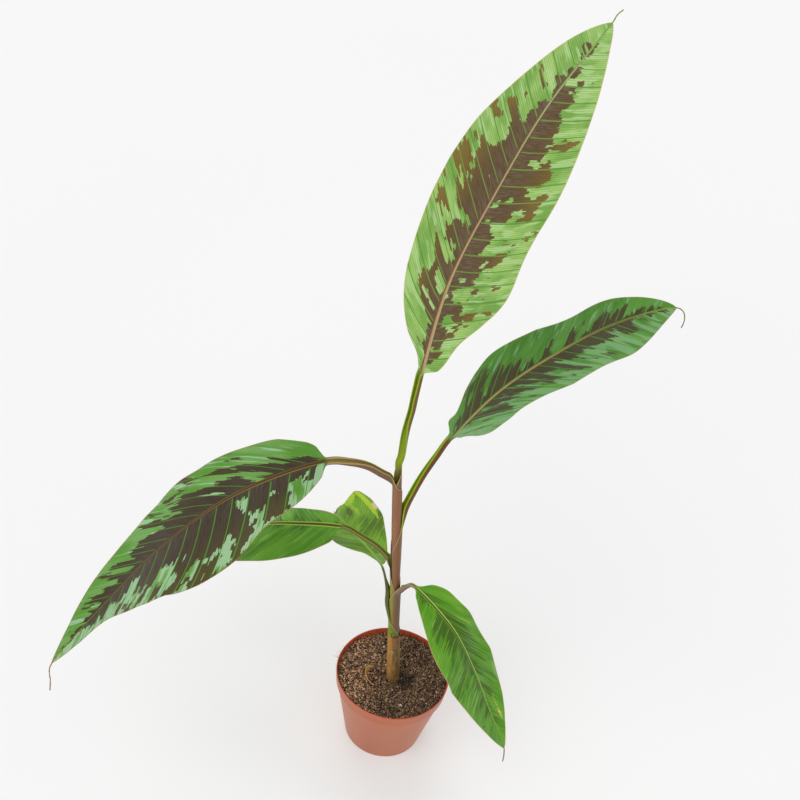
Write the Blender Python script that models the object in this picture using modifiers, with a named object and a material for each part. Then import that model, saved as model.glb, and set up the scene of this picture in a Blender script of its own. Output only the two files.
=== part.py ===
"""A young banana plant in its nursery pot, at its real size.

Metres, +Z up, origin at the middle of the pot's underside. The stem is built as the plant builds it:
rolled leaf sheaths, one inside the other, that stand on a corm in the soil. Each leaf is one strip,
from the foot of its sheath through the petiole to the thread at the tip of its blade.
"""

import math
from typing import NamedTuple

import bpy
import numpy as np
from mathutils import Vector, noise

# What touches keeps this much room.
GAP = 0.00035

# Pot: thin moulded plastic, 12 cm across the rim, with a band below the rim and a tapered body.
RIM_RADIUS = 0.060
POT_HEIGHT = 0.095
BAND_HEIGHT = 0.014
BAND_TAPER = 0.0014
BAND_STEP = 0.0015
FOOT_RADIUS = 0.041
FOOT_CHAMFER = 0.0012
POT_WALL = 0.0012
POT_FLOOR = 0.0018
LIP_ROUND = 0.0005
POT_STEPS = 44
DRAIN_HOLES = 6
DRAIN_RADIUS = 0.004
DRAIN_CIRCLE = 0.027
DRAIN_STEPS = 16

# Soil: its middle, how far it sinks at the wall, and its crumbs as bumps.
SOIL_TOP = 0.0903
SOIL_EDGE_DIP = 0.0018
SOIL_BUMP = 0.0022
SOIL_BUMP_LENGTH = 0.009
SOIL_RING_WIDTH = 0.0066
SOIL_STEPS = 40

# Stem: its foot is buried and it leans a little towards -X.
STEM_FOOT = Vector((0.0041, 0.0, 0.060))
STEM_LEAN = math.radians(6.15)
STEM_RADIUS = 0.0078
SHEATH_WALL = 0.0006
SHEATH_PITCH = 0.00098
STEM_SIDES = 11
SHEATH_STEPS = 10
MOUTH_RINGS = 8
FLARE = 0.0026
FLARE_FROM = 0.100
FLARE_TO = 0.270
WAIST = 0.0006
WAIST_TO = 0.090
STEM_LEVELS = (0.0, 0.060, 0.105, 0.145, 0.190, 0.235, 0.285)

# Corm: the short buried foot that every sheath grows from.
CORM_RADIUS = 0.0125
CORM_DEPTH = 0.021
CORM_STEPS = 24
CORM_RINGS = 7
CORM_SQUARENESS = 0.8

# Old sheath: the dry sleeve round the stem's foot, with a ragged upper edge.
OLD_SHEATH_TOP = 0.102
OLD_SHEATH_SIDE = 9
OLD_SHEATH_RAGGED = 0.0022
RAGGED_TURN = 5 * math.pi
RAGGED_OVERTONE = 2.7
RAGGED_SHARE = 0.4

# Leaf strips: half of the full roll, the half roll at the mouth and in the petiole, and the blade's cut.
FULL_ROLL = math.pi * SHEATH_STEPS / STEM_SIDES
MOUTH_ROLL = math.radians(75.0)
PETIOLE_ROLL = math.radians(145.0)
PETIOLE_WALL = 0.0015
PARTING = 0.009
UNROLLING = (0.25, 0.85)
TWIST_FROM = 0.4
BLADE_THICKNESS = 0.00065
RIB_HALF_WIDTH = 0.0013
RIB_GROOVE = 0.0004
RIB_DEPTH_AT_TIP = 0.0009
RIB_SLIMMING = 0.7
BLADE_BASE = 0.018
BASE_HALF_WIDTH = 0.002
THREAD_HALF_WIDTH = 0.0006
THREAD_THICKNESS = 0.0007
CUP = 1.3
PETIOLE_STATION = 0.012
PETIOLE_CROWDING = 1.35
BLADE_STATIONS = 17
BLADE_CROWDING = 0.9
HALF_COUNT = SHEATH_STEPS // 2

# Dry scale: a curled scrap of old sheath that stands on the soil, tall in its middle.
SCALE_HEIGHT = 0.0060
SCALE_ARCH = (0.12, 0.88)
SCALE_STEP = 0.003
SCALE_LEAN = 0.0018
SCALE_THICKNESS = 0.0007
SCALE_PATH = (
    (-0.0185, 0.0060), (-0.0235, 0.0050), (-0.0268, 0.0),
    (-0.0268, -0.0065), (-0.0238, -0.0130), (-0.0165, -0.0170),
)

# How finely curves are read off, and the angle from which an edge stays sharp.
LINE_STEP = 0.001
KNOT_STEP = 0.02
SHARP_ANGLE = math.radians(40)


class Leaf(NamedTuple):
    """One leaf. Lengths are in metres, angles in degrees, points in the part's frame."""

    name: str
    layer: int  # 1 is the outermost green sheath
    side: int  # which of the stem's sides it leaves by, counted from +X towards +Y
    mouth: float  # where the petiole parts from the stem, along the stem from its foot
    slant: float  # the height over which the sheath's edges climb to that point
    petiole_radius: tuple  # by the stem and by the blade
    parting: tuple  # height above the mouth and distance from the stem of the petiole's first point
    petiole: tuple
    midrib: tuple
    thread: tuple
    left: float  # widest half blade on each side of the midrib
    right: float
    rise: float  # the outline follows t ** rise * (1 - t) ** fall from base to tip
    fall: float
    twist: tuple  # at the blade's base, middle and tip
    left_lift: tuple  # how far the left margin bends up, from base to tip
    right_lift: tuple
    left_lobes: tuple  # each half's width over that of the outline, from base to tip
    right_lobes: tuple


LEAVES = (
    Leaf(
        "leaf_1", 1, 5, 0.122, 0.020, (0.0019, 0.0015), (0.022, 0.0038),
        petiole=((-0.0232, 0.0060, 0.222),),
        midrib=((-0.031, 0.015, 0.241), (-0.046, 0.034, 0.241), (-0.065, 0.051, 0.243),
                (-0.0785, 0.070, 0.240), (-0.0875, 0.089, 0.2285)),
        thread=((-0.0895, 0.093, 0.2245),),
        left=0.023, right=0.036, rise=0.76, fall=0.62, twist=(46, -6, -41),
        left_lift=(4, 4, 6, 6, 12, 18), right_lift=(-22, -8, 2, 10, 26, 36),
        left_lobes=(1.0, 0.92, 0.9, 0.88, 0.96, 0.98, 0.99, 1.03, 0.7),
        right_lobes=(0.8, 0.85, 0.93, 1.06, 0.98, 0.98, 1.04, 1.04, 0.8),
    ),
    Leaf(
        "leaf_2", 2, 10, 0.165, 0.018, (0.0034, 0.0021), (0.005, 0.0030),
        petiole=((-0.0005, -0.0113, 0.2424),),
        midrib=((0.0041, -0.0175, 0.2555), (0.046, -0.046, 0.239), (0.075, -0.054, 0.193),
                (0.099, -0.060, 0.143), (0.124, -0.071, 0.095)),
        thread=((0.1255, -0.074, 0.087), (0.126, -0.075, 0.077)),
        left=0.029, right=0.034, rise=0.63, fall=0.81, twist=(4, 13, 8),
        left_lift=(-7, -2, 1, 6, 10, 9), right_lift=(3, -4, -7, -1, 10, 17),
        left_lobes=(1.0, 1.26, 0.94, 1.06, 0.99, 1.02, 0.98, 0.92, 0.7),
        right_lobes=(0.97, 0.76, 0.99, 1.1, 1.01, 1.03, 0.97, 0.97, 1.0),
    ),
    Leaf(
        "leaf_3", 3, 4, 0.194, 0.030, (0.0032, 0.0026), (0.008, 0.0016),
        petiole=((-0.0284, 0.0077, 0.2653), (-0.0398, 0.0127, 0.2713), (-0.0566, 0.0207, 0.2732)),
        midrib=((-0.074, 0.030, 0.272), (-0.126, 0.036, 0.259), (-0.169, 0.054, 0.227),
                (-0.208, 0.071, 0.190), (-0.246, 0.082, 0.151)),
        thread=((-0.250, 0.083, 0.145),),
        left=0.042, right=0.029, rise=0.67, fall=0.81, twist=(-14, -11, -2),
        left_lift=(3, -10, -12, -8, 1, 14), right_lift=(2, -11, -12, -3, 6, 7),
        left_lobes=(1.0, 1.03, 1.02, 1.05, 1.03, 1.02, 1.03, 0.96, 0.8),
        right_lobes=(1.2, 0.94, 0.87, 0.93, 0.97, 0.93, 0.92, 1.0, 0.8),
    ),
    Leaf(
        "leaf_4", 4, 1, 0.256, 0.030, (0.0042, 0.0033), (0.010, 0.0020),
        petiole=((-0.0157, 0.0063, 0.3453), (-0.0104, 0.0120, 0.3634), (-0.0041, 0.0179, 0.3796),
                 (0.0042, 0.0261, 0.3953)),
        midrib=((0.0123, 0.0342, 0.4108), (0.048, 0.067, 0.450), (0.093, 0.093, 0.485),
                (0.144, 0.118, 0.514), (0.200, 0.142, 0.527)),
        thread=((0.209, 0.146, 0.5205), (0.2125, 0.148, 0.509), (0.212, 0.149, 0.499)),
        left=0.046, right=0.055, rise=0.53, fall=0.83, twist=(-42, -4, 7),
        left_lift=(3, 4, -1, -6, 3, 14), right_lift=(9, 5, 8, 6, 1, 8),
        left_lobes=(1.3, 0.87, 1.18, 1.17, 0.92, 0.86, 1.04, 1.04, 1.08),
        right_lobes=(1.0, 1.33, 1.06, 0.94, 0.9, 0.94, 1.11, 1.16, 0.92),
    ),
    Leaf(
        "leaf_5", 5, 6, 0.317, 0.007, (0.0043, 0.0037), (0.006, 0.0032),
        petiole=((-0.0483, -0.0068, 0.3905), (-0.0609, -0.0094, 0.3995), (-0.0768, -0.0128, 0.4056)),
        midrib=((-0.0961, -0.0169, 0.4080), (-0.171, -0.054, 0.386), (-0.233, -0.076, 0.324),
                (-0.282, -0.095, 0.251), (-0.329, -0.124, 0.180)),
        thread=((-0.331, -0.126, 0.172), (-0.3305, -0.126, 0.156), (-0.331, -0.127, 0.140)),
        left=0.057, right=0.047, rise=0.71, fall=0.95, twist=(-45, 8, 3),
        left_lift=(2, 5, -2, 6, 20, 18), right_lift=(14, 5, 4, 9, 15, 17),
        left_lobes=(1.05, 0.84, 0.95, 1.21, 1.16, 1.02, 0.83, 0.86, 0.88),
        right_lobes=(1.3, 1.07, 0.92, 1.02, 1.18, 1.07, 0.94, 0.9, 0.9),
    ),
    Leaf(
        "leaf_6", 6, 2, 0.335, 0.014, (0.0036, 0.0036), (0.010, 0.0004),
        petiole=((-0.0300, 0.0047, 0.4093), (-0.0297, 0.0056, 0.4381), (-0.0271, 0.0079, 0.4673)),
        midrib=((-0.0259, 0.0119, 0.5064), (-0.016, 0.045, 0.587), (0.009, 0.078, 0.663),
                (0.040, 0.117, 0.734), (0.081, 0.166, 0.792)),
        thread=((0.084, 0.169, 0.799), (0.088, 0.171, 0.803)),
        left=0.051, right=0.062, rise=0.62, fall=0.79, twist=(-20, -18, 7),
        left_lift=(-8, 8, 17, 13, 7, 7), right_lift=(5, 2, -5, -4, 2, 16),
        left_lobes=(0.6, 0.88, 1.0, 1.09, 1.09, 1.1, 1.03, 1.04, 1.1),
        right_lobes=(0.9, 0.76, 1.07, 1.14, 0.98, 1.05, 0.97, 0.99, 0.8),
    ),
)

# Colours: red, green, blue and roughness.
FINISHES = {
    "pot": (0.42, 0.13, 0.065, 0.42),
    "soil": (0.045, 0.028, 0.018, 0.95),
    "corm": (0.30, 0.17, 0.09, 0.85),
    "old_sheath": (0.25, 0.19, 0.05, 0.75),
    "dry_scale": (0.42, 0.25, 0.10, 0.80),
    "leaf_1": (0.20, 0.36, 0.05, 0.45),
    "leaf_2": (0.09, 0.24, 0.04, 0.45),
    "leaf_3": (0.08, 0.20, 0.04, 0.45),
    "leaf_4": (0.06, 0.15, 0.05, 0.45),
    "leaf_5": (0.07, 0.11, 0.06, 0.45),
    "leaf_6": (0.18, 0.30, 0.07, 0.45),
}

STEM_AXIS = Vector((-math.sin(STEM_LEAN), 0.0, math.cos(STEM_LEAN)))


def smooth_step(value):
    """0 up to 0, 1 from 1 on, with an even ramp between."""
    value = np.clip(value, 0.0, 1.0)
    return value * value * (3.0 - 2.0 * value)


def unit(vectors):
    return vectors / np.linalg.norm(vectors, axis=-1, keepdims=True)


def smooth_line(points, step):
    """A centripetal Catmull-Rom curve through the points, read off about every step."""
    points = np.asarray(points, float)
    ends = np.vstack([2 * points[0] - points[1], points, 2 * points[-1] - points[-2]])
    curve = []
    for p0, p1, p2, p3 in zip(ends, ends[1:], ends[2:], ends[3:]):
        t1 = math.sqrt(np.linalg.norm(p1 - p0))
        t2 = t1 + math.sqrt(np.linalg.norm(p2 - p1))
        t3 = t2 + math.sqrt(np.linalg.norm(p3 - p2))
        count = max(2, math.ceil(np.linalg.norm(p2 - p1) / step))
        t = np.linspace(t1, t2, count, endpoint=False)[:, None]
        a1 = (t1 - t) / t1 * p0 + t / t1 * p1
        a2 = (t2 - t) / (t2 - t1) * p1 + (t - t1) / (t2 - t1) * p2
        a3 = (t3 - t) / (t3 - t2) * p2 + (t - t2) / (t3 - t2) * p3
        b1 = (t2 - t) / t2 * a1 + t / t2 * a2
        b2 = (t3 - t) / (t3 - t1) * a2 + (t - t1) / (t3 - t1) * a3
        curve.append((t2 - t) / (t2 - t1) * b1 + (t - t1) / (t2 - t1) * b2)
    return np.vstack(curve + [points[-1:]])


def lengths_along(line):
    return np.concatenate([[0.0], np.cumsum(np.linalg.norm(np.diff(line, axis=0), axis=1))])


def read_line(line, at):
    """The points that lie the given lengths along a line."""
    along = lengths_along(line)
    return np.stack([np.interp(at, along, line[:, axis]) for axis in range(3)], axis=1)


def stem_point(height):
    return np.array(STEM_FOOT + STEM_AXIS * height)


def stem_flare(height):
    """How much wider the stem is here than at its foot, so that all its sheaths stay nested."""
    swell = FLARE * smooth_step((height - FLARE_FROM) / (FLARE_TO - FLARE_FROM))
    return swell - WAIST * smooth_step(height / WAIST_TO)


def sheath_radius(layer, height):
    """The radius of the middle of a sheath's wall."""
    return STEM_RADIUS - SHEATH_WALL / 2 - layer * SHEATH_PITCH + stem_flare(height)


def stem_side(side):
    """The direction of one of the stem's sides, square to its axis."""
    bearing = 2 * math.pi * side / STEM_SIDES
    across = np.array([math.cos(STEM_LEAN), 0.0, math.sin(STEM_LEAN)])
    return across * math.cos(bearing) + np.array([0.0, 1.0, 0.0]) * math.sin(bearing)


def rolled_section(radius, half_roll, wall):
    """Points, normals and thicknesses across a rolled strip. A point is sideways and inwards from the keel."""
    turn = np.linspace(-half_roll, half_roll, SHEATH_STEPS + 1)
    points = np.stack([radius * np.sin(turn), radius - radius * np.cos(turn)], axis=1)
    normals = np.stack([-np.sin(turn), np.cos(turn)], axis=1)
    return points, normals, np.full(len(turn), wall)


def half_blade(half_width, lift, rib):
    """One half of a blade's cut, from the midrib out: points, and thicknesses that swell into the rib."""
    steps = np.arange(HALF_COUNT + 1)
    inner = np.minimum(RIB_HALF_WIDTH, half_width / HALF_COUNT) * np.minimum(steps, 2)
    out = inner + (half_width - inner[2]) * np.maximum(steps - 2, 0) / (HALF_COUNT - 2)
    raised = half_width * math.sin(lift) * (out / half_width) ** CUP
    points = np.stack([out * math.cos(lift), raised], axis=1)
    thickness = np.full(len(steps), BLADE_THICKNESS)
    thickness[:2] = rib, (rib + BLADE_THICKNESS) / 2
    return points, thickness


def blade_section(left, right, left_lift, right_lift, rib):
    """Points, normals and thicknesses across a blade, from its left margin to its right one."""
    right_points, right_thickness = half_blade(right, right_lift, rib)
    left_points, left_thickness = half_blade(left, left_lift, rib)
    left_points = left_points[::-1] * (-1, 1)
    points = np.vstack([left_points, right_points[1:]])
    thickness = np.concatenate([left_thickness[::-1], right_thickness[1:]])
    along = unit(np.gradient(points, axis=0))
    normals = np.stack([-along[:, 1], along[:, 0]], axis=1)
    sunk = (thickness - BLADE_THICKNESS) / 2 + RIB_GROOVE * (thickness > BLADE_THICKNESS)
    return points - normals * sunk[:, None], normals, thickness


def mixed(first, second, share):
    """A section part of the way from one to another."""
    points, normals, thickness = (a + (b - a) * share for a, b in zip(first, second))
    return points, unit(normals), thickness


def section_ring(section, origin, across, inwards):
    """The closed ring of a section's upper and lower points, in space."""
    points, normals, thickness = section
    half = normals * thickness[:, None] / 2
    flat = np.vstack([points + half, (points - half)[::-1]])
    return origin + flat[:, :1] * across + flat[:, 1:] * inwards


def loft(rings):
    """Vertices and triangles of the solid between rings of paired points, split alike on both faces."""
    count = len(rings[0])
    half = count // 2
    faces = []
    for ring in range(len(rings) - 1):
        low, high = ring * count, (ring + 1) * count
        for here in range(count):
            there = (here + 1) % count
            if here < half:
                faces += [(low + here, low + there, high + there), (low + here, high + there, high + here)]
            else:
                faces += [(low + here, low + there, high + here), (low + there, high + there, high + here)]
    for base, outward in ((0, True), ((len(rings) - 1) * count, False)):
        for here in range(half - 1):
            corners = [base + here, base + here + 1, base + count - 2 - here, base + count - 1 - here]
            if outward:
                corners.reverse()
            faces += [corners[:3], (corners[0], corners[2], corners[3])]
    return np.vstack(rings), faces


def knots(values, at):
    """A smooth reading of evenly spaced values, at 0 to 1."""
    places = np.linspace(0.0, 1.0, len(values))
    padded = np.column_stack([places, values, np.zeros(len(values))])
    curve = smooth_line(padded, KNOT_STEP)
    return np.interp(at, curve[:, 0], curve[:, 1])


def outline(leaf, t):
    """The blade's width over its widest, from its base at 0 to its tip at 1."""
    widest = leaf.rise / (leaf.rise + leaf.fall)
    top = widest**leaf.rise * (1 - widest) ** leaf.fall
    return t**leaf.rise * (1 - t) ** leaf.fall / top


def sheath_rings(leaf, outwards):
    """The rings of a leaf's sheath, full at first and then opening up to its mouth."""
    opening = leaf.mouth - leaf.slant
    full = [level for level in STEM_LEVELS if level < opening - SHEATH_WALL]
    sloped = list(np.linspace(opening, leaf.mouth, MOUTH_RINGS))
    sideways = np.cross(np.array(STEM_AXIS), -outwards)
    rings = []
    for height in full + sloped:
        radius = sheath_radius(leaf.layer, height)
        roll = FULL_ROLL + (MOUTH_ROLL - FULL_ROLL) * max(0.0, (height - opening) / leaf.slant)
        keel = stem_point(height) + outwards * radius
        rings.append(section_ring(rolled_section(radius, roll, SHEATH_WALL), keel, sideways, -outwards))
    return rings


def free_line(leaf, outwards):
    """The keel's line past the mouth, and the lengths along it of the blade's base and tip."""
    radius = sheath_radius(leaf.layer, leaf.mouth)
    start = stem_point(leaf.mouth) + outwards * radius
    below = start - np.array(STEM_AXIS) * PARTING
    rise, away = leaf.parting
    parting = stem_point(leaf.mouth + rise) + outwards * (radius + away)
    line = smooth_line([below, start, parting, *leaf.petiole, *leaf.midrib, *leaf.thread], LINE_STEP)
    along = lengths_along(line)
    base, tip, first = (
        along[np.argmin(np.linalg.norm(line - point, axis=1))]
        for point in (leaf.midrib[0], leaf.midrib[-1], start)
    )
    return line, first, base, tip


def stations(first, base, tip, end):
    """Lengths along the keel where the free part of a leaf is cut."""
    count = max(3, round((base - first) / PETIOLE_STATION))
    petiole = first + (base - first) * np.linspace(0, 1, count + 1)[1:] ** PETIOLE_CROWDING
    spread = (np.arange(1, BLADE_STATIONS) / BLADE_STATIONS) ** BLADE_CROWDING
    blade = base + (tip - base) * (1 - np.cos(math.pi * spread)) / 2
    threads = max(1, round((end - tip) / PETIOLE_STATION))
    return np.concatenate([petiole, blade, np.linspace(tip, end, threads + 1)])


def free_rings(leaf, outwards):
    """The rings of a leaf's petiole, blade and thread."""
    line, first, base, tip = free_line(leaf, outwards)
    end = lengths_along(line)[-1]
    cuts = stations(first, base, tip, end)
    keel = read_line(line, cuts)
    ahead = unit(read_line(line, np.minimum(cuts + LINE_STEP, end)) - read_line(line, cuts - LINE_STEP))
    mouth_radius = sheath_radius(leaf.layer, leaf.mouth)
    from_stem = keel - stem_point(0.0)
    from_stem -= np.outer(from_stem @ np.array(STEM_AXIS), np.array(STEM_AXIS))
    petiole_share = (cuts - first) / (base - first)
    by_distance = smooth_step((np.linalg.norm(from_stem, axis=1) - mouth_radius) / PARTING)
    by_length = smooth_step((petiole_share - UNROLLING[0]) / (UNROLLING[1] - UNROLLING[0]))
    parted = np.maximum.accumulate(np.maximum(by_distance, by_length))
    t = np.clip((cuts - base) / (tip - base), 0.0, 1.0)
    ramp = smooth_step((petiole_share - TWIST_FROM) / (1 - TWIST_FROM))
    twist = np.radians(np.interp(t, (0.0, 0.5, 1.0), leaf.twist)) * ramp
    lifts = [np.radians(knots(values, t)) for values in (leaf.left_lift, leaf.right_lift)]
    lobes = [knots(values, t) for values in (leaf.left_lobes, leaf.right_lobes)]
    rings = []
    for i, place in enumerate(keel):
        above = np.array(STEM_AXIS) * (1 - ramp[i]) + np.array([0.0, 0.0, 1.0]) * ramp[i]
        up = above * parted[i] - outwards * (1 - parted[i])
        inwards = unit(up - ahead[i] * (ahead[i] @ up))
        across = np.cross(ahead[i], inwards)
        across, inwards = (
            across * math.cos(twist[i]) - inwards * math.sin(twist[i]),
            inwards * math.cos(twist[i]) + across * math.sin(twist[i]),
        )
        thick, slim = leaf.petiole_radius
        channel = thick + (slim - thick) * min(1.0, petiole_share[i]) - PETIOLE_WALL / 2
        radius = mouth_radius + (channel - mouth_radius) * parted[i]
        roll = MOUTH_ROLL + (PETIOLE_ROLL - MOUTH_ROLL) * parted[i]
        wall = SHEATH_WALL + (PETIOLE_WALL - SHEATH_WALL) * parted[i]
        section = rolled_section(radius, roll, wall)
        if cuts[i] > base:
            plain = max(BASE_HALF_WIDTH * (1 - t[i]), THREAD_HALF_WIDTH)
            shape = outline(leaf, t[i])
            rib = slim + (RIB_DEPTH_AT_TIP - slim) * t[i] ** RIB_SLIMMING
            blade = blade_section(
                plain + leaf.left * shape * lobes[0][i], plain + leaf.right * shape * lobes[1][i],
                lifts[0][i], lifts[1][i], rib if t[i] < 1 else THREAD_THICKNESS,
            )
            section = mixed(section, blade, smooth_step((cuts[i] - base) / BLADE_BASE))
        rings.append(section_ring(section, place, across, inwards))
    return rings


def coloured(obj):
    """Gives an object its own material, in the colour set for it."""
    red, green, blue, roughness = FINISHES[obj.name]
    material = bpy.data.materials.new(obj.name)
    material.use_nodes = True
    shader = material.node_tree.nodes["Principled BSDF"]
    shader.inputs["Base Color"].default_value = (red, green, blue, 1.0)
    shader.inputs["Roughness"].default_value = roughness
    shader.inputs["Metallic"].default_value = 0.0
    obj.data.materials.clear()
    obj.data.materials.append(material)
    return obj


def mesh_object(name, vertices, faces, collection):
    """An object made from vertices and faces, shaded smooth apart from sharp edges."""
    mesh = bpy.data.meshes.new(name)
    mesh.from_pydata([tuple(point) for point in vertices], [], faces)
    mesh.validate()
    mesh.shade_smooth()
    mesh.set_sharp_from_angle(angle=SHARP_ANGLE)
    obj = bpy.data.objects.new(name, mesh)
    collection.objects.link(obj)
    return obj


def turned(name, profile, steps, collection):
    """A solid turned round Z from a profile that runs outwards along the top and down its outer side."""
    mesh = bpy.data.meshes.new(name)
    edges = [(i, i + 1) for i in range(len(profile) - 1)]
    mesh.from_pydata([(radius, 0.0, height) for radius, height in profile], edges, [])
    obj = bpy.data.objects.new(name, mesh)
    collection.objects.link(obj)
    screw = obj.modifiers.new("Turn", "SCREW")
    screw.steps = screw.render_steps = steps
    screw.use_merge_vertices = True
    screw.merge_threshold = 0.0001
    screw.use_smooth_shade = True
    return obj


def made_mesh(obj):
    """Turns an object's modifiers into its mesh, so that the points can be moved."""
    bpy.context.view_layer.update()
    graph = bpy.context.evaluated_depsgraph_get()
    mesh = bpy.data.meshes.new_from_object(obj.evaluated_get(graph))
    obj.modifiers.clear()
    obj.data = mesh
    return mesh


def cut(obj, cutter):
    """Cuts one object away from another, and hides the cutter."""
    cutter.hide_render = True
    cutter.display_type = "WIRE"
    boolean = obj.modifiers.new("Cut " + cutter.name, "BOOLEAN")
    boolean.operation = "DIFFERENCE"
    boolean.object = cutter


def pot_profile():
    """The pot's cut: up the inside from the middle of the floor, over the lip and down the outside."""
    band_foot = POT_HEIGHT - BAND_HEIGHT
    band_radius = RIM_RADIUS - BAND_TAPER
    body_radius = band_radius - BAND_STEP
    inside = [
        (0.0, POT_FLOOR),
        (FOOT_RADIUS - POT_WALL, POT_FLOOR),
        (body_radius - POT_WALL, band_foot),
        (band_radius - POT_WALL, band_foot + POT_WALL),
        (RIM_RADIUS - POT_WALL, POT_HEIGHT - LIP_ROUND),
        (RIM_RADIUS - POT_WALL + LIP_ROUND, POT_HEIGHT),
    ]
    outside = [
        (RIM_RADIUS - LIP_ROUND, POT_HEIGHT),
        (RIM_RADIUS, POT_HEIGHT - LIP_ROUND),
        (band_radius, band_foot),
        (body_radius, band_foot - POT_WALL / 2),
        (FOOT_RADIUS + FOOT_CHAMFER / 4, FOOT_CHAMFER),
        (FOOT_RADIUS - FOOT_CHAMFER, 0.0),
        (0.0, 0.0),
    ]
    return inside + outside


def build_pot(parts, cutters):
    pot = turned("pot", pot_profile(), POT_STEPS, parts)
    for number in range(DRAIN_HOLES):
        bearing = 2 * math.pi * (number + 0.5) / DRAIN_HOLES
        bpy.ops.mesh.primitive_cylinder_add(
            vertices=DRAIN_STEPS,
            radius=DRAIN_RADIUS,
            depth=4 * POT_FLOOR,
            location=(DRAIN_CIRCLE * math.cos(bearing), DRAIN_CIRCLE * math.sin(bearing), 0.0),
        )
        hole = bpy.context.object
        hole.name = f"drain_hole_{number + 1}"
        move_to(hole, cutters)
        cut(pot, hole)
    return coloured(pot)


def move_to(obj, collection):
    for owner in list(obj.users_collection):
        owner.objects.unlink(obj)
    collection.objects.link(obj)


def soil_height(x, y):
    """The height of the crumbly soil above a point of the pot's floor."""
    bump = noise.noise(Vector((x, y, 0.0)) / SOIL_BUMP_LENGTH)
    edge = math.hypot(x, y) / RIM_RADIUS
    return SOIL_TOP - SOIL_EDGE_DIP * edge**4 + SOIL_BUMP * bump


def inner_radius(height):
    """The pot's inner radius at a height in its band."""
    band_foot = POT_HEIGHT - BAND_HEIGHT
    share = (height - band_foot - POT_WALL) / (BAND_HEIGHT - POT_WALL - LIP_ROUND)
    return RIM_RADIUS - BAND_TAPER * (1 - share) - POT_WALL


def build_soil(parts, cutters):
    band_foot = POT_HEIGHT - BAND_HEIGHT
    low_radius = RIM_RADIUS - BAND_TAPER - BAND_STEP - POT_WALL - GAP
    edge = inner_radius(SOIL_TOP - SOIL_EDGE_DIP - SOIL_BUMP) - GAP
    rings = math.floor(edge / SOIL_RING_WIDTH)
    profile = [(edge * ring / rings, SOIL_TOP) for ring in range(rings + 1)]
    profile += [
        (inner_radius(band_foot + 2 * POT_WALL) - GAP, band_foot + 2 * POT_WALL),
        (low_radius, band_foot + POT_WALL / 2),
        (FOOT_RADIUS - POT_WALL - GAP, POT_FLOOR + GAP),
        (0.0, POT_FLOOR + GAP),
    ]
    soil = turned("soil", profile, SOIL_STEPS, parts)
    for point in made_mesh(soil).vertices:
        if point.co.z > SOIL_TOP - GAP:
            point.co.z = soil_height(point.co.x, point.co.y)
    cut(soil, turned_on_stem("stem_room", corm_profile(GAP, 2 * SOIL_TOP), cutters))
    return coloured(soil)


def corm_profile(grown, shaft):
    """The corm's cut, grown on all sides. With a shaft, the room of the stem above it is added."""
    neck = STEM_RADIUS + grown
    middle = -GAP - CORM_DEPTH / 2
    top = [(0.0, shaft), (neck, shaft), (neck, grown - GAP)] if shaft else [(0.0, -GAP), (neck, -GAP)]
    belly = []
    for step in range(1, CORM_RINGS):
        turn = math.pi * step / CORM_RINGS
        radius = (CORM_RADIUS + grown) * math.sin(turn) ** CORM_SQUARENESS
        height = middle + (CORM_DEPTH / 2 + grown) * math.cos(turn)
        if radius > neck or height < middle:
            belly.append((radius, height))
    return top + belly + [(0.0, middle - CORM_DEPTH / 2 - grown)]


def turned_on_stem(name, profile, collection):
    obj = turned(name, profile, CORM_STEPS, collection)
    obj.location = STEM_FOOT
    obj.rotation_euler = (0.0, -STEM_LEAN, 0.0)
    return obj


def build_corm(parts):
    return coloured(turned_on_stem("corm", corm_profile(0.0, 0.0), parts))


def build_old_sheath(parts):
    """The dry sleeve: a rolled strip whose last ring is ragged."""
    outwards = stem_side(OLD_SHEATH_SIDE)
    sideways = np.cross(np.array(STEM_AXIS), -outwards)
    heights = [level for level in STEM_LEVELS if level < OLD_SHEATH_TOP - OLD_SHEATH_RAGGED] + [OLD_SHEATH_TOP]
    rings = []
    for height in heights:
        radius = sheath_radius(0, height)
        keel = stem_point(height) + outwards * radius
        rings.append(section_ring(rolled_section(radius, FULL_ROLL, SHEATH_WALL), keel, sideways, -outwards))
    turn = np.linspace(0, RAGGED_TURN, SHEATH_STEPS + 1)
    ragged = OLD_SHEATH_RAGGED * (np.sin(turn) + RAGGED_SHARE * np.sin(RAGGED_OVERTONE * turn))
    rings[-1] += np.outer(np.concatenate([ragged, ragged[::-1]]), np.array(STEM_AXIS))
    return coloured(mesh_object("old_sheath", *loft(rings), parts))


def build_leaf(leaf, parts):
    outwards = stem_side(leaf.side)
    rings = sheath_rings(leaf, outwards) + free_rings(leaf, outwards)
    return coloured(mesh_object(leaf.name, *loft(rings), parts))


def build_dry_scale(parts):
    """The curled scrap: an upright strip that follows a hook-shaped path over the soil."""
    path = smooth_line([(x, y, 0.0) for x, y in SCALE_PATH], SCALE_STEP)
    ahead = unit(np.gradient(path, axis=0))
    rings = []
    for share, place, forward in zip(np.linspace(*SCALE_ARCH, len(path)), path, ahead):
        height = SCALE_HEIGHT * math.sin(math.pi * share)
        foot = soil_height(place[0], place[1]) + 2 * GAP
        side = np.array([-forward[1], forward[0], 0.0]) * SCALE_THICKNESS / 2
        lean = np.array([place[0], place[1], 0.0]) / math.hypot(place[0], place[1]) * SCALE_LEAN
        low = np.array([place[0], place[1], foot])
        tall = low + lean + np.array([0.0, 0.0, height])
        rings.append(np.array([low + side, tall + side, tall - side, low - side]))
    return coloured(mesh_object("dry_scale", *loft(rings), parts))


def new_collection(name):
    collection = bpy.data.collections.new(name)
    bpy.context.scene.collection.children.link(collection)
    return collection


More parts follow.
